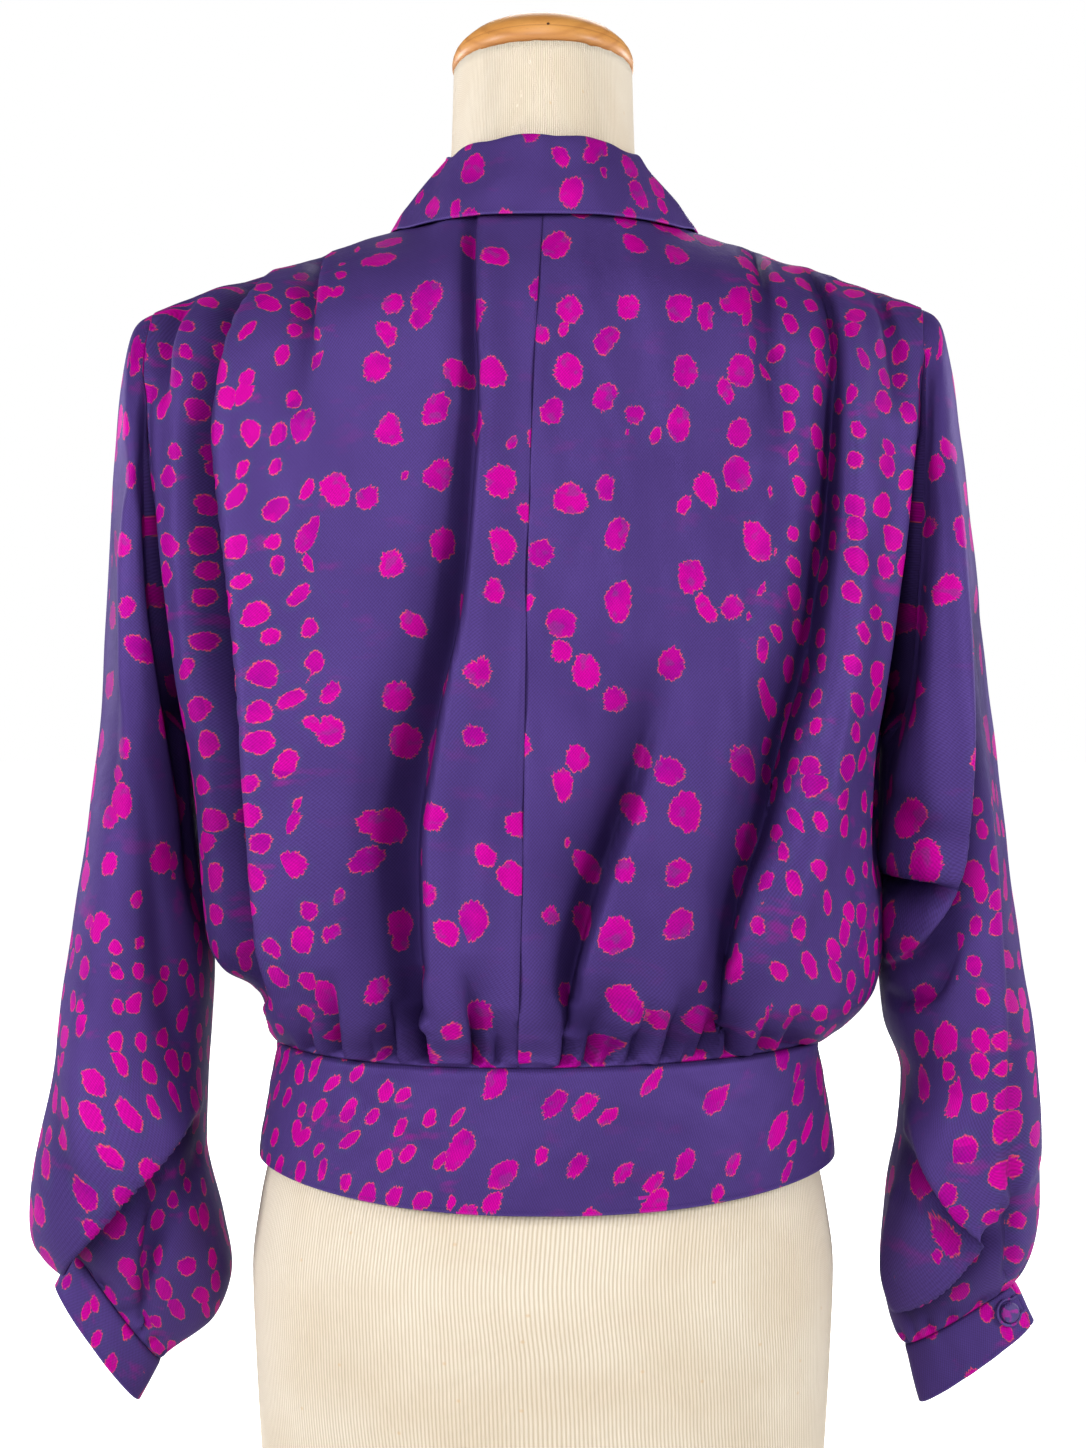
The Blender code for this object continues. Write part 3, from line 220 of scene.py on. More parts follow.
# Rolls stand proud beside the folds: x, height, how far they stand out, width left, width right
BACK_ROLLS = {
    "neck_roll": ((32, 780, 0, 5, 8), (31, 724, 3, 4, 9), (29, 671, 3, 5, 10), (31, 609, 3, 6, 12),
                  (34, 554, 3, 7, 13), (43, 504, 2.6, 8, 14), (50, 460, 2.6, 9, 14),
                  (55, 400, 2.6, 9, 14), (54, 350, 1.4, 8, 12)),
    "left_roll": ((172, 700, 0, 5, 12), (176, 650, 2.4, 5, 14), (172, 600, 3.4, 5, 15),
                  (163, 527, 4, 6, 18), (158, 471, 4.6, 6, 20), (154, 414, 4.4, 6, 20),
                  (150, 360, 2, 7, 16)),
    "left_side": ((211, 720, 0, 9, 9), (206, 650, 4, 12, 11), (203, 560, 7, 13, 12),
                  (193, 480, 10, 12, 13), (187, 430, 12, 11, 13), (185, 393, 11, 11, 12),
                  (182, 350, 6, 11, 12), (178, 325, 2, 11, 12)),
    "right_roll": ((-178, 720, 0, 5, 12), (-180, 640, 4, 5, 14), (-178, 561, 6, 6, 14),
                   (-168, 493, 7, 7, 15), (-152, 421, 6, 7, 17), (-128, 365, 4, 7, 16),
                   (-114, 325, 1, 6, 12)),
    "soft_roll": ((-64, 477, 0, 5, 14), (-56, 443, 2.4, 5, 15), (-43, 405, 3.4, 5, 15),
                  (-33, 372, 3.4, 5, 13), (-25, 335, 1.5, 5, 10)),
    "waist_roll": ((22, 500, 0, 10, 12), (28, 440, 2.6, 9, 12), (34, 392, 3.4, 8, 14),
                   (38, 350, 2.4, 8, 10)),
}
# Grooves that run along an armhole seam, shared by the back and the sleeve
ARMHOLE_GROOVES = {
    1: ((230, 690, 0, 3, 3), (231, 650, 4, 3, 4), (228, 600, 7, 3, 4), (222, 550, 9, 3, 4),
        (215, 500, 10, 3, 4), (211, 470, 9, 3, 4), (206, 430, 7, 3, 4), (203, 390, 3, 3, 4),
        (199, 360, 0, 3, 4)),
    -1: ((-226, 705, 0, 3, 8), (-223, 690, 5, 3, 10), (-219, 650, 9, 3, 14), (-213, 600, 12, 3, 15),
         (-207, 550, 13, 3, 15), (-202, 500, 12, 3, 14), (-198, 470, 9, 3, 12), (-196, 430, 5, 3, 10),
         (-194, 390, 0, 3, 8)),
}
# Short gathers above the band seam: x at the seam, lean to the left, length, depth, width left, width right
BACK_GATHERS = (
    (140, 8, 24, 2.88, 3.0, 1.6), (127, 10, 39, 5.28, 4.0, 1.4), (110, 9, 60, 8.88, 6.4, 1.5),
    (93, 5, 27, 4.32, 3.4, 1.4), (80, 6, 45, 6.96, 5.2, 1.4), (62, 4, 60, 9.36, 6.8, 1.4),
    (41, 2, 69, 10.08, 1.5, 6.0), (28, -3, 39, 6, 1.4, 4.6), (13, -4, 30, 5.04, 1.4, 4.0),
    (-7, -9, 45, 7.68, 1.4, 5.6), (-20, -14, 57, 8.64, 1.4, 5.8), (-32, -12, 30, 5.28, 1.4, 4.0),
    (-45, -16, 45, 7.2, 1.4, 5.0), (-62, -18, 54, 8.4, 1.5, 5.8), (-76, -12, 27, 4.8, 1.4, 3.6),
    (-86, -10, 39, 6, 1.4, 4.6), (-101, -6, 66, 10.08, 1.5, 6.2), (-117, -12, 36, 6, 1.4, 4.4),
    (-132, -14, 36, 5.28, 1.5, 4.4), (-144, -8, 21, 2.64, 1.4, 3.0),
)

# Folds of each front, mirrored on the other side with its own lean
FRONT_FOLDS = {
    "shoulder": ((112, 772, 0, 6, 2), (120, 757, 4, 9, 2.4), (116, 715, 6, 12, 3),
                 (108, 660, 5, 15, 5), (98, 600, 0, 16, 9)),
    "shoulder_long": ((168, 753, 0, 6, 2), (176, 742, 4, 8, 2.2), (182, 700, 7, 12, 2.6),
                      (180, 640, 9, 17, 3), (168, 560, 11, 22, 3.2), (150, 480, 12, 26, 3.6),
                      (132, 400, 11, 25, 4), (120, 340, 7, 16, 4), (114, 318, 3, 12, 4)),
    "middle": ((60, 565, 0, 13, 10), (64, 490, 6, 16, 9), (62, 420, 9, 18, 7), (56, 360, 9, 15, 5),
               (52, 320, 4, 10, 3)),
}
FRONT_ROLLS = {
    "long_roll": ((172, 690, 0, 5, 10), (168, 620, 2, 5, 13), (150, 540, 2.6, 6, 16),
                  (130, 450, 2.6, 6, 16), (114, 370, 1.4, 6, 13)),
}
FRONT_GATHERS = (
    (26, 3, 36, 3.6, 3.4, 1.6), (41, 4, 48, 5.52, 5.0, 1.6), (57, 6, 33, 4.08, 4.0, 1.5),
    (70, 6, 42, 5.04, 5.0, 1.6), (86, 8, 30, 3.84, 3.6, 1.5), (99, 8, 51, 5.76, 6.0, 1.6),
    (116, 10, 36, 4.32, 4.4, 1.6), (133, 11, 30, 3.84, 4.0, 1.5), (147, 9, 24, 3.12, 3.0, 1.5),
)

# Sleeves: outer line x, height; inner line x, height; depth back, depth front
LEFT_SLEEVE = (
    (232, 731, 213, 478, 62, 54), (243, 722, 213.5, 470, 65, 58), (249, 695, 212.6, 460, 67, 62),
    (254, 655, 211, 447, 69, 64), (258, 600, 209.4, 432, 70, 66), (261, 540, 207.4, 415, 70, 66),
    (265, 480, 205, 395, 69, 66), (271, 425, 200.6, 368, 68, 65), (279, 372, 198.4, 338, 67, 64),
    (287, 320, 199.5, 305, 66, 63), (294, 268, 202, 270, 65, 61), (299, 222, 203, 235, 63, 59),
    (298, 198, 192, 190, 58, 56), (296, 182, 187, 160, 50, 49), (290, 176, 198, 130, 36, 35),
    (283, 174, 221, 110, 22, 21), (281, 173, 229, 104, 17, 16),
)
RIGHT_SLEEVE = (
    (226, 731, 202.6, 478, 62, 54), (237, 722, 203, 470, 65, 58), (243, 697, 202.4, 460, 67, 62),
    (249, 655, 202, 447, 69, 64), (255, 605, 201.6, 432, 70, 66), (261, 550, 201.6, 415, 70, 66),
    (268, 490, 202, 392, 69, 66), (274, 440, 202.4, 365, 68, 65), (280, 390, 203, 338, 67, 64),
    (288, 335, 206, 308, 66, 63), (295, 285, 216, 275, 64, 61), (297, 240, 214, 243, 61, 58),
    (297, 205, 207, 205, 56, 54), (294, 175, 203.5, 165, 48, 46), (289, 160, 207.5, 135, 34, 33),
    (285, 154, 213, 118, 21, 20), (283, 152, 217, 113, 17, 16),
)
LEFT_CUFF_END = (293, 149, 242, 80, 17, 16)
RIGHT_CUFF_END = (295, 128, 226, 79, 17, 16)
SLEEVE_SQUARENESS = 2.2
SLEEVE_HEAD = 0.22  # the armhole's shape fades over this share of a sleeve

# Cloth that hangs over cloth on the sleeves: x, height, raised by. The raised side is the left of the line.
LEFT_LAPS = {
    "flap": ((194, 270, 0), (204, 258, 4), (215, 246, 11), (234, 223, 15), (262, 188, 15),
             (278, 169, 12), (292, 152, 8)),
}
RIGHT_LAPS = {
    "diagonal": ((-252, 186, 0), (-246, 193, 8), (-236, 207, 10), (-226, 224, 9), (-218, 243, 6),
                 (-213, 262, 0)),
    "swag": ((-241, 640, 0), (-243, 590, 3), (-244, 520, 7), (-243, 464, 10), (-240, 410, 12),
             (-235, 386, 12), (-226, 366, 11), (-214, 351, 6), (-203, 342, 0)),
    "cuff_fold": ((-256, 198, 3), (-254, 192, 7), (-249, 182, 12), (-238, 166, 13), (-226, 152, 12),
                  (-208, 136, 8)),
}
# Hollows of the sleeves: x, height, depth, width left, width right
SLEEVE_FOLDS = {
    1: {
        "upper": ((241, 650, 0, 5, 5), (246, 610, 4, 8, 3), (249, 580, 6, 10, 2.4),
                  (248, 530, 6, 11, 2.6), (248, 470, 3, 12, 6), (250, 420, 0, 12, 10)),
        "inner": ((232, 470, 0, 6, 6), (226, 420, 3, 8, 6), (221, 370, 4, 9, 6), (216, 320, 3, 9, 6),
                  (211, 280, 0, 8, 6)),
        "under_flap": ((222, 216, 3, 3, 6), (231, 190, 6, 3, 8), (236, 160, 6, 3, 7),
                       (238, 136, 3, 3, 5)),
        "under_seam": ((203, 232, 2, 4, 4), (212, 205, 3, 4, 3), (222, 178, 3, 4, 3),
                       (228, 150, 0, 4, 3)),
        "outer": ((288, 300, 0, 8, 6), (282, 262, 2, 9, 6), (272, 232, 3, 9, 6), (258, 212, 0, 8, 6)),
    },
    -1: {
        "pocket": ((-197, 399, 7, 13, 2.4), (-207, 398, 14, 16, 2.4), (-218, 397, 14, 15, 2.4),
                   (-229, 394, 7, 10, 2.8), (-236, 391, 0, 6, 4)),
        "drape": ((-207, 452, 0, 6, 7), (-214, 436, 3, 5, 8), (-226, 424, 3, 4, 8),
                  (-238, 420, 0, 4, 6)),
        "under_swag": ((-204, 330, 0, 5, 5), (-212, 322, 4, 4, 8), (-224, 326, 5, 3, 9),
                       (-238, 350, 3, 3, 9), (-246, 380, 0, 4, 7)),
        "wrist": ((-268, 240, 0, 5, 5), (-270, 205, 5, 3, 6), (-270, 165, 3, 3, 5)),
        "outer": ((-252, 560, 0, 3, 8), (-258, 520, 3, 3, 10), (-264, 460, 4, 3, 12),
                  (-268, 400, 4, 3, 12), (-271, 330, 3, 3, 11), (-268, 262, 2, 3, 9),
                  (-262, 214, 0, 3, 8)),
    },
}
# The hidden fronts of the sleeves, the same on both: distance from the centre, height, depth, widths
SLEEVE_FRONT_FOLDS = {
    "upper": ((238, 690, 0, 5, 8), (240, 640, 4, 4, 10), (240, 580, 6, 3, 13), (238, 520, 4, 4, 12),
              (238, 470, 0, 6, 12)),
    "elbow": ((214, 400, 0, 8, 5), (232, 372, 4, 9, 4), (254, 350, 4, 9, 4), (276, 340, 0, 8, 5)),
    "wrist": ((258, 300, 0, 6, 8), (256, 250, 5, 4, 10), (254, 205, 6, 3, 10), (254, 150, 3, 3, 7)),
    "inner": ((226, 290, 0, 8, 6), (226, 240, 4, 9, 4), (232, 190, 5, 8, 3), (240, 140, 3, 5, 3)),
}
CUFF_GATHERS = 17
CUFF_GATHER_LENGTHS = (16, 40)
CUFF_GATHER_DEPTHS = (1.4, 2.6)
CUFF_GATHER_WIDTH, CUFF_GATHER_SPREAD = 0.06, 0.05  # in radians, at the cuff and added by its end

# Waistband hem
HEM_LEFT, HEM_RIGHT = 169 * MM, 174 * MM
HEM_BACK, HEM_FRONT = 122 * MM, 106 * MM
HEM_SIDE_Z, HEM_BACK_Z, HEM_FRONT_Z = 231 * MM, 214 * MM, 222 * MM
BODY_SQUARENESS = 2.3
BAND_SAG = 1.2 * MM
BAND_RIDGE, BAND_RIDGE_AT, BAND_RIDGE_WIDTH = 0.9 * MM, 2.4 * MM, 2.2 * MM
# Puckers of the band: x, height, depth, width left, width right
BAND_PUCKERS = {
    "long": ((22, 284, 0, 5, 5), (-6, 277, 0.9, 5, 3), (-40, 268, 1.1, 6, 3), (-76, 258, 0.8, 6, 4),
             (-108, 252, 0, 6, 5)),
    "low": ((14, 246, 0, 5, 4), (-16, 240, 0.8, 6, 3), (-52, 233, 0.7, 6, 3), (-84, 226, 0, 5, 4)),
    "short": ((-60, 288, 0.4, 4, 3), (-86, 278, 0.9, 5, 3), (-112, 270, 0.5, 5, 4),
              (-134, 262, 0, 5, 4)),
    "left": ((112, 282, 0.5, 4, 4), (92, 268, 0.7, 5, 4), (66, 252, 0.6, 6, 4), (40, 240, 0, 6, 4)),
}

# Collar, by distance of the seam from the centre back. Roll line above the seam: sideways, back, up
COLLAR_ROLL = ((0, 0, -3, 34.5), (20, -1, -3, 34), (40, -4, -2.5, 32.5), (55, -7, -1, 33), (66, -9, -1, 35))
# Outer edge: x to the wearer's left, x to the right, y, height
COLLAR_EDGE = (
    (0, 0, 0, 76, 776.6), (20, 27, 27, 75, 776.6), (40, 53, 54, 63, 776.4), (55, 73, 75, 43, 776.6),
    (62, 83.5, 86, 26, 776.8), (66, 90.5, 92, 8, 778.9),
)
# Front stations, from the neck point to the V: row, roll inwards, forward, up, width
COLLAR_FRONT = (
    (0.10, 7, 3, 33, 31), (0.16, 8, 4, 25, 38), (0.22, 8, 5, 18, 44), (0.29, 8, 5, 12, 47),
    (0.36, 7, 5, 8, 46), (0.43, 6, 5, 5, 38), (0.49, 4, 5, 4, 25), (0.535, 2, 4, 3.5, 9),
)
COLLAR_BACK_SEAM = (0, 8, 16, 25, 34, 43, 51, 59, 66)  # distances of the back stations from the centre
COLLAR_MIDDLES = (0.36, 0.7)  # shares of the way from the roll line to the edge
COLLAR_ROUND = (93, 74)  # half the collar's width and its depth, to which its fall is rounded
COLLAR_STANDS = 32  # where the roll is this high the fall hangs free
ROLL_RADIUS = 2.3 * MM
COLLAR_LIFT = 2.6 * MM
COLLAR_FOOT = 0.7 * MM
COLLAR_RIDGE, COLLAR_RIDGE_AT, COLLAR_RIDGE_WIDTH = 0.45 * MM, 1.2 * MM, 1.6 * MM

# Dress form: height, half width, back, front, squareness, tilt of the row in degrees
FORM_ROWS = (
    (0, 163, 101, 92, 2.3, 0), (51, 167.5, 106, 94, 2.3, 0), (110, 171, 112, 96, 2.3, 0),
    (164, 173, 116, 98, 2.3, 0), (205, 168, 116, 99, 2.3, 0), (231, 163, 113, 98, 2.3, 0),
    (265, 159.5, 109, 97, 2.3, 0), (295, 154, 104, 94, 2.3, 0), (340, 136, 94, 90, 2.25, 0),
    (385, 123, 86, 90, 2.2, 0), (430, 126, 86, 96, 2.2, 0), (500, 139, 91, 108, 2.2, 0),
    (570, 152, 97, 115, 2.2, 0), (640, 161, 101, 108, 2.3, 0), (690, 169, 94, 94, 2.3, 0),
    (722, 178, 78, 80, 2.0, 0), (740, 175, 60, 62, 1.7, 0), (751.9, 161, 50, 54, 1.5, 0),
    (760.4, 137, 46, 50, 1.5, 0), (768.8, 111, 44, 50, 1.6, 0), (775.4, 87, 44, 52, 1.8, 0),
    (782.4, 64.5, 46, 54, 2.0, 1), (796, 58, 50, 58, 2.1, 3), (826, 55, 50, 57, 2.1, 5),
    (874, 53.5, 50, 56, 2.1, 8.5),
)
FORM_COLUMNS = 144
FORM_LEVELS = 150
FORM_TUCK = 0.985  # the hidden stretch of the form keeps this share of its girth, clear of the cloth
HIDDEN_FROM, HIDDEN_TO = 222, 800
TUCK_RISE, TUCK_FALL = 16, 12
FORM_FOOT_LEVELS = (0, 0.08, 0.24, 0.6)
FORM_FOOT_ROUND = 1.2
FORM_FOOT_INSET = 0.012
FORM_NICKS = 0.8 * MM  # how uneven the cover's cut edge is
FORM_SEAM_X = 27 * MM
FORM_SEAM_Z = 800 * MM
FORM_SEAM_LEAN = 0.28
FORM_SEAM_FROM = 600 * MM
RIB = 1.9 * MM

# Wooden neck cap: radius, height above its underside
CAP_PROFILE = (
    (49.0, 0.0), (52.0, 0.3), (53.7, 1.6), (54.5, 4.0), (54.6, 6.2), (54.1, 9.0), (53.0, 11.9),
    (51.2, 14.5), (48.4, 17.3), (45.0, 20.3), (39.6, 23.3), (33.0, 25.9), (25.0, 27.8),
    (16.0, 29.2), (7.0, 30.0),
)
CAP_TOP = 30.2
CAP_SEGMENTS = 112
CAP_TILT = 8.5
CAP_CLEAR = 0.1 * MM
NAIL_RADIUS = 0.9 * MM
NAIL_FLATNESS = 0.45
NAIL_PLACE = (-3 * MM, 53.8 * MM, 9.6 * MM)
NAIL_TURN = 29

# Buttons and loops
BUTTON_RADIUS = 6.0 * MM
BUTTON_THICK = 5.2 * MM
BUTTON_BACK_FROM = 0.55
BUTTON_BACK = (0.9, 0.9, 0.55)  # how its back is drawn in and flattened
BUTTON_PLEATS = 18  # degrees from one pleat of the cover to the next
BUTTON_PINCH = (0.965, 0.965, 1)
FRONT_BUTTONS = (556, 486, 416, 346)
BAND_BUTTON_SHARES = (0.3, 0.7)
LOOP_RADIUS = 7.6 * MM
LOOP_CORD = 0.9 * MM
LOOP_OPENING = 42
LOOP_LEG = 10 * MM
LOOP_POINTS = 33
CUFF_BUTTON_TURN = 50
CUFF_SLIT_TURN = 24
CUFF_SLIT_RADIUS = 26 * MM
CUFF_SLIT_DEPTH = 0.9 * MM
CUFF_SLIT_WIDTH = 1.0 * MM
CUFF_BUTTON_SHARE = 0.42
GAP = 0.3 * MM

# Angles under which an edge of a hard piece is shaded smooth
CAP_SMOOTH = math.radians(50)
SMALL_SMOOTH = math.radians(60)


# Curves and sections


def smooth(where, table, column):
    """A column of a table, read at any value of its first one along smooth curves that never overshoot."""
    rows = sorted(table)
    xs = np.array([row[0] for row in rows], float)
    ys = np.array([row[column] for row in rows], float)
    steps = np.diff(xs)
    rises = np.diff(ys) / steps
    slopes = np.empty_like(ys)
    slopes[0], slopes[-1] = rises[0], rises[-1]
    same_way = rises[1:] * rises[:-1] > 0
    mean = 2 * rises[1:] * rises[:-1] / np.where(same_way, rises[1:] + rises[:-1], 1)
    slopes[1:-1] = np.where(same_way, mean, 0)
    q = np.clip(np.asarray(where, float), xs[0], xs[-1])
    i = np.clip(np.searchsorted(xs, q, side="right") - 1, 0, len(xs) - 2)
    t = (q - xs[i]) / steps[i]
    return (
        (2 * t**3 - 3 * t**2 + 1) * ys[i]
        + (t**3 - 2 * t**2 + t) * steps[i] * slopes[i]
        + (3 * t**2 - 2 * t**3) * ys[i + 1]
        + (t**3 - t**2) * steps[i] * slopes[i + 1]
    )


def signed_power(value, power):
    return np.sign(value) * np.abs(value) ** power


def ease(t):
    t = np.clip(t, 0, 1)
    return t * t * (3 - 2 * t)


def edge_height(row):
    """Height of the side edge. Row 0 is the shoulder tip, 1 the underarm and 2 the band seam."""
    row = np.asarray(row, float)
    lower = [(i / (len(LOWER_HEIGHTS) - 1), z) for i, z in enumerate(LOWER_HEIGHTS)]
    armhole = ARMHOLE_MIDDLE + ARMHOLE_HALF * np.cos(math.pi * np.clip(row, 0, 1))
    return np.where(row <= 1, armhole, smooth(np.clip(row - 1, 0, 1), lower, 1) * MM)


def edge_reach(height, side):
    return smooth(height / MM, SIDE_REACH, 1 if side > 0 else 2) * MM


def body_point(row, turn, side, face):
    """A point of the bodice before its folds. Turn runs from 0 at the centre to a quarter turn at the side.
    Side is 1 on the wearer's left and -1 on the right; face is 1 at the back and -1 at the front."""
    z_edge = edge_height(row)
    reach = edge_reach(z_edge, side)
    square = smooth(row, ROW_SQUARENESS, 1)
    x = reach * signed_power(np.sin(turn), 2 / square)
    along = np.abs(x) / reach
    gentle = ease((1 - row) * 1.6)
    out = np.abs(np.cos(turn)) ** (2 / square)
    out = gentle * (1 - along**ARMHOLE_CURVE) + (1 - gentle) * out
    armhole_depth = ARMHOLE_BACK if face > 0 else ARMHOLE_FRONT
    depth_edge = np.where(row <= 1, armhole_depth * np.sin(math.pi * np.clip(row, 0, 1)), 0)
    depth_edge = depth_edge + face * SHOULDER_Y
    top_y = smooth(np.abs(x) / MM, SHOULDER_LINE, 2) * MM
    top_z = smooth(np.abs(x) / MM, SHOULDER_LINE, 1) * MM
    lift = smooth(z_edge / MM, CENTRE_LIFT, 1 if face > 0 else 2) * MM
    shoulder_drop = (top_z - SHOULDER_LINE[-1][1] * MM) / (60 * MM)
    high = ease(1 - row)
    z = z_edge + lift * (high * shoulder_drop + (1 - high) * (1 - along**2))
    z = np.where(row <= 0, top_z, z)
    drop = np.clip((top_z - z) / SHOULDER_ROLL, 0, 1)
    roll = np.sqrt(1 - (1 - drop) ** 2)
    depth_centre = smooth(z / MM, CENTRE_DEPTH, 1 if face > 0 else 2) * MM
    depth_near = smooth(z_edge / MM, SIDE_DEPTH, 1) * MM * armhole_depth / ARMHOLE_BACK + face * SHOULDER_Y
    depth = (
        depth_near * (1 - out)
        + (depth_edge - depth_near) * along**10
        + depth_centre * out * roll
        + (1 - roll) * (face * top_y - face * SHOULDER_Y * (1 - out))
    )
    sway = np.where(face > 0, smooth(z / MM, SEAM_DRIFT, 1) * MM * out**2, 0)
    return np.stack([side * x + sway, face * depth, z], axis=-1)


def turn_at(x, row, side):
    """The turn whose point lies at a distance from the centre."""
    share = np.clip(x / edge_reach(edge_height(row), side), -1, 1)
    return np.arcsin(signed_power(share, smooth(row, ROW_SQUARENESS, 1) / 2))


def panel_rows(columns):
    """The rows of a panel. At its side edge they match the sleeve's columns; inside they lie evenly."""
    t = np.linspace(0, 1, ARMHOLE_ROWS + 1)[:, None]
    even = np.arccos(1 - 2 * t**1.3) / math.pi
    inside = ease((columns - np.arange(columns + 1)) / EDGE_COLUMNS)[None, :]
    lower = 1 + np.arange(1, LOWER_ROWS + 1)[:, None] / LOWER_ROWS
    return np.concatenate([t + (even - t) * inside, lower + 0 * inside])


def spread(q):
    """Shares of a quarter turn that space a row's columns evenly along the cloth."""
    return q**COLUMN_SPREAD / (q**COLUMN_SPREAD + (1 - q) ** COLUMN_SPREAD)


def panel_turns(side, face):
    """The turns of every row's columns. The shoulder seam's columns are the back's, on both faces."""
    rows = panel_rows(BACK_COLUMNS if face > 0 else SHOULDER_COLUMNS)
    even = spread(np.linspace(0, 1, BACK_COLUMNS + 1))[None, :] * math.pi / 2
    neck = float(turn_at(NECK_HALF, 0.0, side))
    inner = neck * np.linspace(0, 1, NECK_COLUMNS + 1) ** COLUMN_SPREAD
    outer = neck + (math.pi / 2 - neck) * (
        1 - (1 - np.linspace(0, 1, SHOULDER_COLUMNS + 1)) ** COLUMN_SPREAD
    )
    top = np.concatenate([inner, outer[1:]])[None, :]
    mix = ease(rows / 0.5)
    if face > 0:
        return top * (1 - mix) + even * mix
    first = turn_at(smooth(rows, FRONT_EDGE, 1) * MM, rows, side)
    shares = (top[:, NECK_COLUMNS:] - neck) / (math.pi / 2 - neck)
    even = spread(np.linspace(0, 1, SHOULDER_COLUMNS + 1))[None, :]
    return first + (math.pi / 2 - first) * (shares * (1 - mix) + even * mix)


# Folds


def trace(table):
    """A fold's table, in mm, read along smooth curves at even steps, in metres."""
    rows = np.array(table, float) * MM
    runs = np.hypot(*np.diff(rows[:, :2], axis=0).T)
    along = np.concatenate([[0], np.cumsum(runs)])
    keyed = [(a, *row) for a, row in zip(along, rows)]
    where = np.linspace(0, along[-1], max(3, int(along[-1] / TRACE_STEP) + 1))
    return np.stack([smooth(where, keyed, k + 1) for k in range(rows.shape[1])], axis=1)


def nearest(flat, line):
    """For each x, z point: its signed distance from a fold's line, the fold's other values there, and the
    direction across the line towards the positive side, which is the left of a line that runs down."""
    best = np.full(flat.shape[:-1], np.inf)
    signed = np.zeros_like(best)
    values = np.zeros((*best.shape, line.shape[1] - 2))
    across = np.zeros_like(flat)
    for a, b in zip(line[:-1], line[1:]):
        run = b[:2] - a[:2]
        length = np.hypot(*run)
        ahead = run / length
        gap = flat - a[:2]
        t = np.clip(gap @ ahead / length, 0, 1)
        off = gap - t[..., None] * run
        distance = np.hypot(off[..., 0], off[..., 1])
        near = distance < best
        side_of = ahead[0] * gap[..., 1] - ahead[1] * gap[..., 0]
        best = np.where(near, distance, best)
        signed = np.where(near, np.copysign(distance, side_of), signed)
        values = np.where(near[..., None], a[2:] + t[..., None] * (b - a)[2:], values)
        across = np.where(near[..., None], np.array([-ahead[1], ahead[0]]), across)
    return signed, values, across


def bell(distance, width):
    """1 on a line and fading to 0 on both sides of it."""
    return np.exp(-((distance / width) ** 2))


def drawn_in(signed, reach, power=1.8):
    """Distances from a line, crowded towards it so that the mesh follows a crisp edge."""
    inside = np.abs(signed) < reach
    return np.where(inside, np.sign(signed) * reach * (np.abs(signed) / reach) ** power, signed)


class Folding:
    """What the folds do to a piece: out along its normals, sideways in x and z, and the painted shade they
    lay on its colour.
    """

    def __init__(self, flat):
        self.flat = flat
        self.out = np.zeros(flat.shape[:-1])
        self.slide = np.zeros_like(flat)
        self.print_shift = np.zeros_like(flat)
        self.shade = np.zeros(flat.shape[:-1])

    def hollow(self, table, where=1.0, shade=1.0):
        """A hollow with its own width on each side. The print jumps where cloth is hidden in it, and the
        hollow gets painted shade.
        """
        signed, values, across = nearest(self.flat, trace(table))
        depth, left, right = values[..., 0], values[..., 1], values[..., 2]
        crisp = np.minimum(left, right)
        fine = ease((CRISP_WIDTH - crisp) / CRISP_CHANGE) * ease(depth / CRISP_CHANGE) * where
        moved = signed + (drawn_in(signed, CROWDED_REACH) - signed) * fine
        width = np.where(moved > 0, left, right)
        self.out -= depth * bell(moved, width) * where
        soft_side = np.where(left > right, 1, -1)
        brow = moved + soft_side * crisp * 1.5
        push = np.minimum(OVERHANG * depth, MOST_OVERHANG) * bell(brow, 1.7 * crisp) * fine
        self.out += BROW * depth * bell(brow, 2.5 * crisp) * fine
        self.slide += across * (moved - signed + soft_side * push)[..., None]
        edge = -soft_side * crisp * 0.6
        jump = HIDDEN_CLOTH * depth * np.tanh((moved - edge) / (0.7 * crisp)) * fine / 2
        jump *= bell(signed, PRINT_REACH)
        self.print_shift += across * (moved - signed + jump)[..., None]
        # Painted shade in the hollow, darker the deeper it is
        deep = np.clip(depth / SHADE_DEPTH, 0, 1) ** 0.7
        self.shade += shade * deep * bell(moved, 1.15 * width + SHADE_SPREAD) * where

    def hollows(self, tables, where):
        for table in tables:
            self.hollow(table, where)

    def roll(self, table, where=1.0):
        signed, values, _ = nearest(self.flat, trace(table))
        width = np.where(signed > 0, values[..., 1], values[..., 2])
        self.out += values[..., 0] * bell(signed, width) * where

    def rolls(self, tables, where):
        for table in tables:
            self.roll(table, where)

    def lap(self, table, where=1.0):
        """Cloth on the left of the line hangs over the cloth on its right, with an undercut edge and
        painted shade below it.
        """
        signed, values, across = nearest(self.flat, trace(table))
        height = values[..., 0] * where
        fine = ease(height / LAP_CRISP_HEIGHT)
        moved = signed + (drawn_in(signed, LAP_CROWDED_REACH, 2.0) - signed) * fine
        step = 0.5 + 0.5 * np.tanh(moved / LAP_EDGE)
        self.out += height * step * bell(np.maximum(moved, 0), LAP_REACH)
        push = LAP_LEAN * height * bell(moved, LAP_PUSH_REACH)
        self.slide += across * (moved - signed - np.tanh(moved / LAP_EDGE) * push)[..., None]
        jump = LAP_HIDDEN_CLOTH * height * step * bell(signed, PRINT_REACH)
        self.print_shift += across * (moved - signed + jump)[..., None]
        # Painted shade on the cloth just below the lap's edge
        self.shade += np.clip(height / LAP_SHADE_HEIGHT, 0, 1) * (1 - step) * bell(moved, LAP_SHADE_REACH)

    def mirror(self, side):
        """Turns what was worked out on the wearer's left round to the given side."""
        self.slide[..., 0] *= side
        self.print_shift[..., 0] *= side


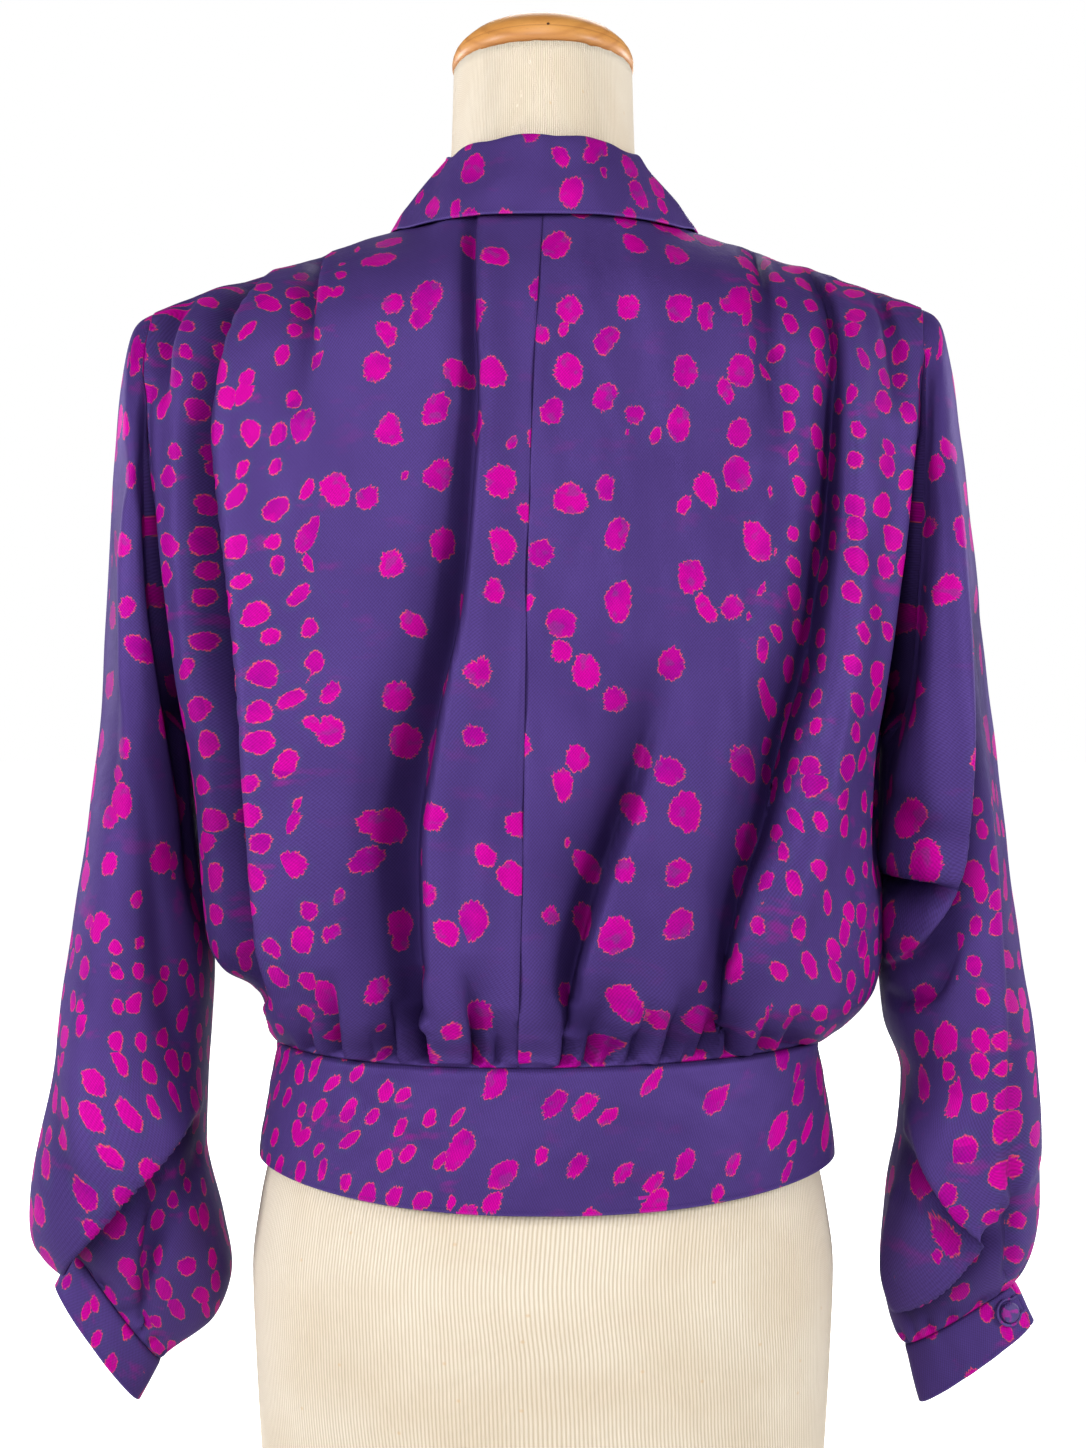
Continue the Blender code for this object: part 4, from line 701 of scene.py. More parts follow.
def ripples(flat, seed, size, wave=55 * MM, tall=2.6):
    """Soft uneven ripples, longer up and down than across."""
    draw = np.random.default_rng(seed)
    total = np.zeros(flat.shape[:-1])
    for _ in range(RIPPLE_WAVES):
        across = 2 * math.pi / (wave * draw.uniform(0.45, 1.5))
        upward = across / tall * draw.uniform(-1, 1)
        total += np.sin(flat[..., 0] * across + flat[..., 1] * upward + draw.uniform(0, 2 * math.pi))
    return total * size / 3


def gather_lines(gathers, seam_height):
    """Tables of the short hollows that run up from the band seam, each from its top down."""
    tables = []
    for x, lean, length, depth, left, right in gathers:
        points = []
        for share, deep, wide in GATHER_SHAPE[::-1]:
            place = (x + lean * share, seam_height + length * share)
            points.append((*place, depth * deep, left * wide, right * wide))
        tables.append(points)
    return tables


# Grids of points, rows by columns


def grid_normals(grid, closed):
    down = np.gradient(grid, axis=0)
    if closed:
        across = (np.roll(grid, -1, axis=1) - np.roll(grid, 1, axis=1)) / 2
    else:
        across = np.gradient(grid, axis=1)
    normal = np.cross(down, across)
    return normal / np.maximum(np.linalg.norm(normal, axis=-1, keepdims=True), 1e-12)


def lengths(grid, axis):
    """Distance along the cloth from the grid's first row or column."""
    steps = np.linalg.norm(np.diff(grid, axis=axis), axis=-1)
    first = np.zeros_like(np.take(steps, [0], axis=axis))
    return np.concatenate([first, np.cumsum(steps, axis=axis)], axis=axis)


def ring(values, turn, side):
    """A closed section between an outer and an inner point, with its depths to the back and the front."""
    out_x, out_z, in_x, in_z, back, front = values
    c = signed_power(np.cos(turn), 2 / SLEEVE_SQUARENESS)
    s = signed_power(np.sin(turn), 2 / SLEEVE_SQUARENESS)
    x = (out_x + in_x) / 2 + (out_x - in_x) / 2 * c
    z = (out_z + in_z) / 2 + (out_z - in_z) / 2 * c
    y = np.where(s > 0, back * s, front * s)
    return np.stack([side * x, y + SHOULDER_Y / MM, z], axis=-1) * MM


def armhole_ring(turn, side):
    """The armhole seam: down the back edge and up the front edge."""
    at_back = turn <= math.pi + 1e-9
    row = np.where(at_back, turn, 2 * math.pi - turn) / math.pi
    quarter = np.full_like(row, math.pi / 2)
    return np.where(
        at_back[..., None],
        body_point(row, quarter, side, 1),
        body_point(row, quarter, side, -1),
    )


def sleeve_table(side):
    rows = LEFT_SLEEVE if side > 0 else RIGHT_SLEEVE
    return [(i / (len(rows) - 1), *row) for i, row in enumerate(rows)]


def round_the_arm():
    """The turns of a sleeve's columns, from its inner edge up its front, over and down its back."""
    around = 2 * ARMHOLE_ROWS
    return (np.arange(around) * 2 * math.pi / around + math.pi) % (2 * math.pi)


def sleeve_base(side):
    turn = round_the_arm()
    table = sleeve_table(side)
    seam = armhole_ring(turn, side)
    first = ring(table[0][1:], turn, side)
    grid = []
    for i in range(SLEEVE_ROWS + 1):
        t = i / SLEEVE_ROWS
        values = [smooth(t, table, k) for k in range(1, 7)]
        keep = 1 - ease(t / SLEEVE_HEAD)
        grid.append(ring(values, turn, side) + (seam - first) * keep)
    return np.array(grid)


def cuff_base(side):
    turn = round_the_arm()
    top = np.array(sleeve_table(side)[-1][1:], float)
    end = np.array(LEFT_CUFF_END if side > 0 else RIGHT_CUFF_END, float)
    return np.array([ring(top + (end - top) * t, turn, side) for t in np.linspace(0, 1, CUFF_ROWS + 1)])


def bodice_base(side, face):
    """A panel before its folds, with the change of curve at the underarm's level smoothed out."""
    turn = panel_turns(side, face)
    columns = turn.shape[1] - 1
    rows = panel_rows(columns)
    grid = body_point(rows, turn, side, face)
    near = ease(1 - np.abs(np.arange(len(rows)) - ARMHOLE_ROWS) / UNDERARM_SOFT_ROWS)[1:-1, None, None]
    inside = ease((columns - np.arange(columns + 1)) / EDGE_COLUMNS)[None, :, None]
    for _ in range(UNDERARM_ROUNDS):
        grid[1:-1] += (grid[:-2] + grid[2:] - 2 * grid[1:-1]) * 0.25 * near * inside
    return grid


def band_hem(points):
    """Where the waistband's columns end at its hem, which dips at the centre back and front."""
    angle = np.arctan2(points[:, 1] / HEM_BACK, points[:, 0] / HEM_LEFT)
    half = np.where(points[:, 0] > 0, HEM_LEFT, HEM_RIGHT)
    deep = np.where(points[:, 1] > 0, HEM_BACK, HEM_FRONT)
    x = half * signed_power(np.cos(angle), 2 / BODY_SQUARENESS)
    y = deep * signed_power(np.sin(angle), 2 / BODY_SQUARENESS)
    low = np.where(points[:, 1] > 0, HEM_BACK_Z, HEM_FRONT_Z)
    z = HEM_SIDE_Z + (low - HEM_SIDE_Z) * np.sin(angle) ** 2
    return np.stack([x, y, z], axis=-1)


def under_lap(x, rows=1.0):
    """How far the wearer's left front sinks below the right one, near the centre."""
    return LAP_STEP * ease(1 - (x - LAP_CLEAR) / LAP_RISE) * rows


def band_base(panels):
    """The waistband, an open strip from the upper lap at the centre front round to the under lap."""
    left_front, left_back = panels[1, -1][-1], panels[1, 1][-1]
    right_front, right_back = panels[-1, -1][-1], panels[-1, 1][-1]
    top = np.concatenate([left_front, left_back[::-1][1:], right_back[1:], right_front[::-1][1:]])
    hem = band_hem(top)
    hem[0, 0], hem[-1, 0] = top[0, 0], top[-1, 0]
    hem[:, 1] += under_lap(top[:, 0]) * (np.arange(len(top)) < len(left_front))
    t = np.linspace(0, 1, BAND_ROWS + 1)[:, None]
    grid = top + (hem - top) * t[..., None]
    outward = hem / np.linalg.norm(hem[:, :2], axis=1)[:, None]
    grid[..., :2] += (np.sin(math.pi * t)[..., None] ** 0.6 * BAND_SAG) * outward[None, :, :2]
    return grid


def shared_normals(grids):
    """Outward normals of every piece's points, the same for pieces that meet at a seam."""
    sums, keys = {}, {}
    for name, (grid, closed, sign) in grids.items():
        normal = grid_normals(grid, closed) * sign
        keys[name] = [[tuple(key) for key in row] for row in np.round(grid / (0.02 * MM)).astype(int)]
        last_row, last_column = len(grid) - 1, grid.shape[1] - 1
        for i, row in enumerate(keys[name]):
            on_edge_row = i in (0, last_row)
            for j in range(last_column + 1) if on_edge_row or closed else (0, last_column):
                sums[row[j]] = sums.get(row[j], np.zeros(3)) + normal[i, j]
    found = {}
    for name, (grid, closed, sign) in grids.items():
        normal = grid_normals(grid, closed) * sign
        last_row, last_column = len(grid) - 1, grid.shape[1] - 1
        for i, row in enumerate(keys[name]):
            on_edge_row = i in (0, last_row)
            for j in range(last_column + 1) if on_edge_row else (0, last_column):
                total = sums.get(row[j])
                if total is not None:
                    normal[i, j] = total / max(np.linalg.norm(total), 1e-9)
        found[name] = normal
    return found


def seam_dip(distance):
    return -SEAM_DIP * bell(distance, SEAM_WIDTH)


def turned_hem(grid, normal):
    """Rows that roll under from the grid's last row and run back up inside."""
    last, before, out = grid[-1], grid[-2], normal[-1]
    ahead = last - before
    ahead /= np.linalg.norm(ahead, axis=-1, keepdims=True)
    rows = []
    for degrees in (35, 80, 125, 170):
        a = math.radians(degrees)
        rows.append(last + ahead * HEM_RADIUS * math.sin(a) - out * HEM_RADIUS * (1 - math.cos(a)))
    rows.append(rows[-1] - ahead * HEM_TURN - out * 0.3 * MM)
    return np.concatenate([grid, np.array(rows)])


# Objects


def active(obj):
    bpy.ops.object.select_all(action="DESELECT")
    obj.select_set(True)
    bpy.context.view_layer.objects.active = obj


def sheet_mesh(name, grid, closed, outward, prints, attributes):
    """A mesh of a grid of points. Prints are its flat places, with one more column if it is closed."""
    rows, columns = grid.shape[:2]
    last = columns if closed else columns - 1
    i, j = np.meshgrid(np.arange(rows - 1), np.arange(last), indexing="ij")
    i, j = i.ravel(), j.ravel()
    k = (j + 1) % columns
    here, below = i * columns, (i + 1) * columns
    corners = np.stack([here + j, below + j, below + k, here + k], axis=1)
    here, below = i * prints.shape[1], (i + 1) * prints.shape[1]
    places = np.stack([here + j, below + j, below + j + 1, here + j + 1], axis=1)
    points = grid.reshape(-1, 3)
    middle = len(corners) // 2 + last // 2
    a, b, c, _ = points[corners[middle]]
    if np.cross(b - a, c - a) @ outward.reshape(-1, 3)[corners[middle][0]] < 0:
        corners, places = corners[:, ::-1], places[:, ::-1]
    mesh = bpy.data.meshes.new(name)
    mesh.from_pydata(points.tolist(), [], corners.tolist())
    layer = mesh.uv_layers.new(name="cloth")
    layer.data.foreach_set("uv", prints.reshape(-1, 2)[places.ravel()].astype(np.float32).ravel())
    for key, values in attributes.items():
        stored = mesh.attributes.new(key, "FLOAT", "POINT")
        stored.data.foreach_set("value", values.astype(np.float32).ravel())
    mesh.validate()
    mesh.shade_smooth()
    obj = bpy.data.objects.new(name, mesh)
    bpy.context.scene.collection.objects.link(obj)
    return obj


def give_thickness(obj, thickness):
    wall = obj.modifiers.new("wall", "SOLIDIFY")
    wall.thickness = thickness
    wall.offset = -1
    wall.use_even_offset = False
    wall.use_rim = True


def finish_piece(obj, node, material):
    obj.data.materials.clear()
    obj.data.materials.append(material)
    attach(obj, "root")
    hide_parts(node)
    return obj


def extended(values, rows):
    """The last row repeated for the rows of a turned hem."""
    return np.concatenate([values, np.repeat(values[-1:], rows - len(values), axis=0)])


# Pieces of the blouse


def groove_share(base):
    """Grooves beside the armhole show on the back only."""
    return ease((base[..., 1] - 4 * MM) / (20 * MM))


def crowding(flat):
    """0 where the print's spots are large and far apart, 1 where they are small and close."""
    height = flat[..., 1]
    long_wave = SMALL_WAVER * np.sin(height / (31 * MM))
    short_wave = SMALL_WAVER * 0.6 * np.sin(height / (13 * MM) + 1)
    edge = BODY_SMALL_FROM + long_wave + short_wave
    return ease((np.abs(flat[..., 0]) - edge) / BODY_SMALL_RUN)


def marks(crowd, seam, hem, deep):
    """What a piece's points carry: how close the spots lie, how far off the nearest seam and hem are, and
    how much painted shade darkens the cloth, by how deep in a fold, under a lap or next to another piece it
    lies."""
    return {"crowd": crowd, "seam": seam, "hem": hem, "deep": deep}


def bodice(side, face, base, normal):
    """A back or a front: its base folded along its own lines."""
    flat = base[..., [0, 2]]
    rows = panel_rows(base.shape[1] - 1)
    across, down = lengths(base, 1), lengths(base, 0)
    from_side, from_seam = across[:, -1:] - across, down[-1:] - down
    free = ease(from_side / SIDE_FADE) * ease(from_seam / BAND_FADE) * ease(down / SHOULDER_FADE)
    folding = Folding(flat)
    if face > 0:
        started = free * (PLEAT_START + (1 - PLEAT_START) * ease((down - 2 * MM) / PLEAT_RUN))
        folding.hollows(BACK_FOLDS.values(), started)
        folding.rolls(BACK_ROLLS.values(), free)
        gathers = [row for row in BACK_GATHERS if (row[0] > 0) == (side > 0)]
        folding.hollows(gather_lines(gathers, BACK_SEAM_HEIGHT), free)
        folding.hollow(ARMHOLE_GROOVES[side], groove_share(base), shade=0.55)
    else:
        folding.flat = flat * np.array([side, 1])
        lapped = 0 if side > 0 else UPPER_LAP
        free = free * ease((across - lapped) / LAP_FADE)
        folding.hollows(FRONT_FOLDS.values(), free)
        folding.rolls(FRONT_ROLLS.values(), free)
        folding.hollows(gather_lines(FRONT_GATHERS, FRONT_SEAM_HEIGHT), free)
        folding.mirror(side)
    soft = ripples(flat, 5 + side + 4 * face, 0.55 * MM)
    soft = soft + ripples(flat, 9 + side + 4 * face, 0.25 * MM, 24 * MM)
    puff = BAND_PUFF * ease(from_seam / (5 * MM)) * ease(1 - from_seam / PUFF_REACH)
    out = folding.out + (soft + puff) * free
    out += seam_dip(from_side) + seam_dip(from_seam) + seam_dip(down)
    if face > 0:
        out += seam_dip(across) * 0.3
    grid = base + normal * out[..., None]
    grid += slid(folding.slide, normal)
    if face < 0 and side > 0:
        grid[..., 1] += under_lap(grid[..., 0], ease((rows - UNDER_LAP_ROW) / UNDER_LAP_RUN))
    prints = panel_prints(base, normal, face)
    prints += folding.print_shift
    own_stretch = (0.13 * (2 + side + face * 3), 0.71 + 0.09 * side * face)
    prints += np.array(own_stretch)
    seam = np.minimum(np.minimum(from_side, from_seam), down)
    if face > 0:
        seam = np.minimum(seam, across * 1.8)
    yoke = ease((flat[..., 1] - YOKE_SMALL_ABOVE) / YOKE_SMALL_RISE)
    yoke = yoke * ease((np.abs(flat[..., 0]) - YOKE_SMALL_FROM) / YOKE_SMALL_RUN)
    crowd = np.maximum(crowding(flat), YOKE_SHARE * yoke)
    # Painted shade: the folds' shade, and darker cloth beside the side edge where the sleeve meets the body
    beside = SIDE_SHADE * ease(1 - from_side / SIDE_SHADE_REACH)
    beside = beside * ease((SIDE_SHADE_BELOW - flat[..., 1]) / SIDE_SHADE_DROP)
    deep = np.clip(folding.shade + beside, 0, 1)
    return grid, prints, marks(crowd, seam, np.full_like(seam, FAR), deep)


def slid(slide, normal):
    """A sideways move in x and z, kept in the cloth's own plane."""
    move = np.stack([slide[..., 0], np.zeros_like(slide[..., 0]), slide[..., 1]], axis=-1)
    return move - normal * (move * normal).sum(axis=-1, keepdims=True)


def level_steps(points, normal, axis):
    """Steps along the rows or columns as level distances and as distances up the cloth."""
    level = np.cross(UP, normal)
    level /= np.maximum(np.linalg.norm(level, axis=-1, keepdims=True), 1e-9)
    up = np.cross(normal, level)
    ahead = np.diff(points, axis=axis)
    count = points.shape[axis]
    here, there = np.arange(count - 1), np.arange(1, count)
    found = []
    for direction in (level, up):
        mean = (np.take(direction, here, axis) + np.take(direction, there, axis)) / 2
        found.append((ahead * mean).sum(axis=-1))
    return found


def summed(steps, axis):
    return np.concatenate([0 * np.take(steps, [0], axis), np.cumsum(steps, axis=axis)], axis=axis)


def panel_prints(base, normal, face):
    """Flat places of a panel's cloth, so that the print stays upright where the rows run aslant."""
    level, _ = level_steps(base, normal, 1)
    drift, rise = level_steps(base, normal, 0)
    _, seam_rise = level_steps(base[-1:], normal[-1:], 1)
    across = summed(level, 1) + summed(drift[:, :1], 0)
    height = summed(rise, 0)
    height += summed(seam_rise, 1) - height[-1:]
    return np.stack([-face * across, height], axis=-1)


def round_prints(base, normal):
    """Flat places of a sleeve's cloth: the distance round the arm at one height, and the height. The places
    part at the sleeve's inner edge, where its first column is met again by one more column."""
    closed = np.concatenate([base, base[:, :1]], axis=1)
    level, _ = level_steps(closed, np.concatenate([normal, normal[:, :1]], axis=1), 1)
    drift, _ = level_steps(base, normal, 0)
    around = summed(level, 1)
    behind = ARMHOLE_ROWS * 3 // 2
    around += summed(drift[:, behind : behind + 1], 0) - around[:, behind : behind + 1]
    return np.stack([around, closed[..., 2]], axis=-1)


def sleeve(side, base, normal):
    """A sleeve: its base with the folds of its back and of its hidden front."""
    flat = base[..., [0, 2]]
    down = lengths(base, 0)
    to_cuff = down[-1:] - down
    free = ease(down / ARMHOLE_FADE) * ease(to_cuff / CUFF_FADE)
    behind = ease((base[..., 1] - 6 * MM) / (16 * MM)) * free
    before = ease((-base[..., 1] - 8 * MM) / (16 * MM)) * free
    folding = Folding(flat)
    for table in (LEFT_LAPS if side > 0 else RIGHT_LAPS).values():
        folding.lap(table, behind)
    folding.hollows(SLEEVE_FOLDS[side].values(), behind)
    folding.hollow(ARMHOLE_GROOVES[side], groove_share(base) * ease(to_cuff / CUFF_FADE), shade=0.5)
    hidden = Folding(flat * np.array([side, 1]))
    hidden.hollows(SLEEVE_FRONT_FOLDS.values(), before)
    hidden.mirror(side)
    turn = round_the_arm()[None, :]
    draw = np.random.default_rng(31 + side)
    waves = np.zeros_like(down)
    for k in range(CUFF_GATHERS):
        at = (k + draw.uniform(0.25, 0.75)) * 2 * math.pi / CUFF_GATHERS
        away = np.angle(np.exp(1j * (turn - at)))
        reach = draw.uniform(*CUFF_GATHER_LENGTHS) * MM
        fade = ease(1 - to_cuff / reach)
        depth = draw.uniform(*CUFF_GATHER_DEPTHS) * MM
        waves -= depth * fade * bell(away, CUFF_GATHER_WIDTH + CUFF_GATHER_SPREAD * to_cuff / reach)
    soft = ripples(flat, 21 + side, 0.6 * MM, 48 * MM)
    out = folding.out + hidden.out + (soft + waves) * free + seam_dip(down) + seam_dip(to_cuff)
    grid = base + normal * out[..., None] + slid(folding.slide + hidden.slide, normal)
    prints = round_prints(base, normal)
    shift = (folding.print_shift + hidden.print_shift) * np.where(base[..., 1:2] > 0, np.array([-1, 1]), 1)
    prints += np.concatenate([shift, shift[:, :1]], axis=1)
    prints += np.array([0.37 + 0.29 * side, 0.4])
    if side < 0:
        past = np.maximum(np.abs(flat[..., 0]) - SQUEEZE_FROM, 0)
        past = past * ease((SQUEEZE_BELOW - flat[..., 1]) / SQUEEZE_DROP)
        squeeze = -SQUEEZE * past * np.where(base[..., 1] > 0, 1, -1)
        prints[..., 0] += np.concatenate([squeeze, squeeze[:, :1]], axis=1)
    crowd = ease((SLEEVE_SMALL_BELOW - flat[..., 1]) / SLEEVE_SMALL_DROP)
    top = ease((flat[..., 1] - SLEEVE_TOP_ABOVE) / SLEEVE_TOP_RISE)
    crowd = np.maximum(crowd, SLEEVE_TOP_SHARE * top)
    if side < 0:
        outer = ease((np.abs(flat[..., 0]) - OUTER_SMALL_FROM) / OUTER_SMALL_RUN)
        low = ease((OUTER_SMALL_BELOW - flat[..., 1]) / OUTER_SMALL_DROP)
        crowd = np.maximum(crowd * (0.3 + 0.7 * outer), outer * low)
    seam = np.minimum(down, to_cuff)
    # Painted shade: the folds' and laps' shade, darker cloth on the sleeve's inner side next to the body,
    # and shade in the cuff gathers
    beside = SLEEVE_SHADE * ease((-np.cos(turn) - SLEEVE_SHADE_FROM) / SLEEVE_SHADE_RUN)
    beside = beside * ease((flat[..., 1] - SLEEVE_SHADE_ABOVE) / SLEEVE_SHADE_RISE)
    deep = np.clip(folding.shade + hidden.shade + beside - waves / (5 * MM), 0, 1)
    return grid, prints, marks(crowd, seam, np.full_like(seam, FAR), deep)


def cuff(side, base, normal):
    """A cuff, with the edge of its slit beside the button."""
    closed_base = np.concatenate([base, base[:, :1]], axis=1)
    across, down = lengths(closed_base, 1), lengths(base, 0)
    to_hem = down[-1:] - down
    flat = base[..., [0, 2]]
    out = seam_dip(down) + ripples(flat, 40 + side, 0.3 * MM, 26 * MM, 1.3) * ease(down / (8 * MM))
    slit = round_the_arm()[None, :] - math.radians(CUFF_SLIT_TURN) * (1 if side < 0 else -1)
    slit = np.abs(np.angle(np.exp(1j * slit))) * CUFF_SLIT_RADIUS
    out -= CUFF_SLIT_DEPTH * bell(slit, CUFF_SLIT_WIDTH)
    grid = base + normal * out[..., None]
    prints = np.stack([across, -np.concatenate([down, down[:, :1]], axis=1)], axis=-1)
    prints += np.array([0.83 + 0.11 * side, 0.23])
    seam = np.minimum(down, slit + 0 * down)
    # Painted shade along the cuff's top, under the sleeve
    deep = 0.3 * ease(1 - down / (5 * MM))
    return grid, prints, marks(np.full_like(down, CUFF_SHARE), seam, to_hem, deep)


def waistband(base, normal):
    """The waistband with its puckers, mirrored on the hidden front, and a ridge under the seam."""
    flat = base[..., [0, 2]]
    across, down = lengths(base, 1), lengths(base, 0)
    to_hem = down[-1:] - down
    ends = np.minimum(across, across[:, -1:] - across)
    behind = ease(base[..., 1] / (30 * MM))
    before = ease(-base[..., 1] / (30 * MM)) * ease((ends - 8 * MM) / (20 * MM))
    free = ease(down / (3 * MM)) * ease(to_hem / (6 * MM))
    folding = Folding(flat)
    for table in BAND_PUCKERS.values():
        folding.hollow(table, behind * free)
        folding.hollow([(-x, z, depth, right, left) for x, z, depth, left, right in table], before * free)
    soft = ripples(flat, 61, 0.28 * MM, 40 * MM, 0.8) * free * ease(ends / (20 * MM))
    edge = BAND_RIDGE * bell(down - BAND_RIDGE_AT, BAND_RIDGE_WIDTH)
    out = folding.out + soft + edge + seam_dip(down) * 1.4
    grid = base + normal * out[..., None]
    prints = np.stack([across, -down], axis=-1) + np.array([0.05, 0.93])
    left_side = ease((flat[..., 0] - 6 * MM) / (85 * MM))
    right_side = 0.5 * ease((-flat[..., 0] - 105 * MM) / (30 * MM))
    crowd = np.maximum(left_side, right_side)
    # Painted shade along the band's top, under the bodice, and in its puckers
    deep = np.clip(0.35 * ease(1 - down / (4 * MM)) + 0.5 * folding.shade, 0, 1)
    return grid, prints, marks(crowd, down, np.minimum(to_hem, ends), deep)


def front_point(row, x, side):
    """A point on a front panel and its outward normal, at a row and a distance from the centre."""

    def at(r, d):
        return body_point(np.array(r), turn_at(np.array(d), np.array(r), side), side, -1)

    here = at(row, x)
    across = at(row, x + MM) - at(row, x - MM)
    down = at(row + 0.01, x) - at(row - 0.01, x)
    normal = np.cross(down, across) * side
    return here, normal / np.linalg.norm(normal)


def collar_station(seam, roll, edge, middle):
    """A section of the collar: from the neck seam up the stand, over the roll and down to the edge."""
    fall = (middle[0] - roll) / np.linalg.norm(middle[0] - roll)
    stand = (seam - roll) / np.linalg.norm(seam - roll)
    away = (fall - stand) / max(np.linalg.norm(fall - stand), 1e-9)
    down = (fall + stand) / max(np.linalg.norm(fall + stand), 1e-9)
    inner = roll - away * ROLL_RADIUS + down * ROLL_RADIUS
    outer = roll + away * ROLL_RADIUS + down * ROLL_RADIUS
    return [seam, (seam + inner) / 2, inner, roll, outer, *middle, edge]


def collar_side(side):
    """The collar's sections on one side, from the centre back to the end of the front."""
    sections = []
    for at in COLLAR_BACK_SEAM:
        turn = turn_at(np.array(at * MM), np.array(0.0), side)
        seam = body_point(np.array(0.0), turn, side, 1)
        sideways, behind, up = (smooth(at, COLLAR_ROLL, k) for k in (1, 2, 3))
        x, y, z = (smooth(at, COLLAR_EDGE, k) for k in (1 if side > 0 else 2, 3, 4))
        roll = seam + np.array([side * sideways, behind, up]) * MM
        edge = np.array([side * x, y, z]) * MM
        round_the_neck = np.array([side * x / COLLAR_ROUND[0], y / COLLAR_ROUND[1], 0])
        bow = round_the_neck / np.linalg.norm(round_the_neck) * 2.0 * MM
        middle = [roll + (edge - roll) * t + bow for t in COLLAR_MIDDLES]
        sections.append(collar_station(seam + UP * COLLAR_FOOT, roll, edge, middle))
    for row, inward, forward, up, width in COLLAR_FRONT:
        x_edge = smooth(row, FRONT_EDGE, 1) * MM
        seam, normal = front_point(row, x_edge, side)
        roll = seam + np.array([-side * inward, 0, up]) * MM + normal * forward * MM
        high = np.clip(up / COLLAR_STANDS, 0, 1)
        edge, edge_normal = front_point(row, x_edge + width * MM, side)
        edge = edge + edge_normal * COLLAR_LIFT
        middle = []
        for t in COLLAR_MIDDLES:
            lying, lying_normal = front_point(row, x_edge + width * MM * t, side)
            lying = lying + lying_normal * (COLLAR_LIFT + 4 * MM * (1 - t) ** 2)
            straight = roll + (edge - roll) * t + normal * 2 * MM
            middle.append(lying * (1 - high) + straight * high)
        foot = seam + normal * COLLAR_FOOT + np.array([-side * COLLAR_FOOT, 0, 0])
        sections.append(collar_station(foot, roll, edge, middle))
    return sections


def finer(grid, steps):
    """Points along smooth curves through the rows of a grid, so many for each row."""
    padded = np.concatenate([2 * grid[:1] - grid[1:2], grid, 2 * grid[-1:] - grid[-2:-1]])
    rows = []
    for i in range(1, len(padded) - 2):
        a, b, c, d = padded[i - 1 : i + 3]
        for k in range(steps):
            t = k / steps
            rows.append(b + 0.5 * t * (c - a + t * (2 * a - 5 * b + 4 * c - d + t * (3 * (b - c) + d - a))))
    return np.array([*rows, grid[-1]])


def collar_base():
    left, right = collar_side(1), collar_side(-1)
    centre = [(a + b) / 2 for a, b in zip(left[0], right[0])]
    coarse = np.array(left[:0:-1] + [centre] + right[1:])
    along = finer(coarse, COLLAR_STEPS)
    across = finer(along.transpose(1, 0, 2), COLLAR_STEPS - 1)
    return across


def collar(base, normal):
    """The collar, its outer edge a little thicker over the turned seam."""
    across, down = lengths(base, 1), lengths(base, 0)
    middle = base.shape[1] // 2
    to_edge = down[-1:] - down
    ends = np.minimum(across, across[:, -1:] - across)
    free = ease(to_edge / (6 * MM)) * ease(down / (8 * MM)) * ease(ends / (10 * MM))
    around = np.stack([across, to_edge], axis=-1)
    out = ripples(around, 71, 0.5 * MM, 60 * MM, 0.7) * free
    out += COLLAR_RIDGE * bell(to_edge - COLLAR_RIDGE_AT, COLLAR_RIDGE_WIDTH)
    grid = base + normal * out[..., None]
    prints = np.stack([across - across[:, middle : middle + 1], to_edge], axis=-1)
    prints += np.array([0.52, 0.55])
    hem = np.minimum(to_edge, ends)
    return grid, prints, marks(np.full_like(hem, COLLAR_SHARE), down, hem, np.zeros_like(hem))


# Materials


class Field:
    """A value over a surface, which sums and products can be written with."""

    def __init__(self, paint, socket):
        self.paint, self.socket = paint, socket

    def _with(self, operation, *values, clamp=False):
        settings = {"operation": operation, "use_clamp": clamp}
        node = self.paint.node("ShaderNodeMath", settings, dict(enumerate(values)))
        return Field(self.paint, node.outputs[0])

    def __add__(self, other):
        return self._with("ADD", self, other)

    def __sub__(self, other):
        return self._with("SUBTRACT", self, other)

    def __mul__(self, other):
        return self._with("MULTIPLY", self, other)

    def __truediv__(self, other):
        return self._with("DIVIDE", self, other)

    def __rsub__(self, other):
        return self._with("SUBTRACT", other, self)

    __radd__, __rmul__ = __add__, __mul__

    def __abs__(self):
        return self._with("ABSOLUTE", self)

    def sine(self):
        return self._with("SINE", self)

    def cosine(self):
        return self._with("COSINE", self)

    def root(self):
        return self._with("SQRT", self)

    def most(self, other):
        return self._with("MAXIMUM", self, other)

    def rest(self, step):
        """What is left over after whole steps."""
        return self._with("MODULO", self, step)

    def ramp(self, low, high):
        """0 below low, 1 above high and straight in between."""
        return self._with("MULTIPLY", self - low, 1 / (high - low), clamp=True)


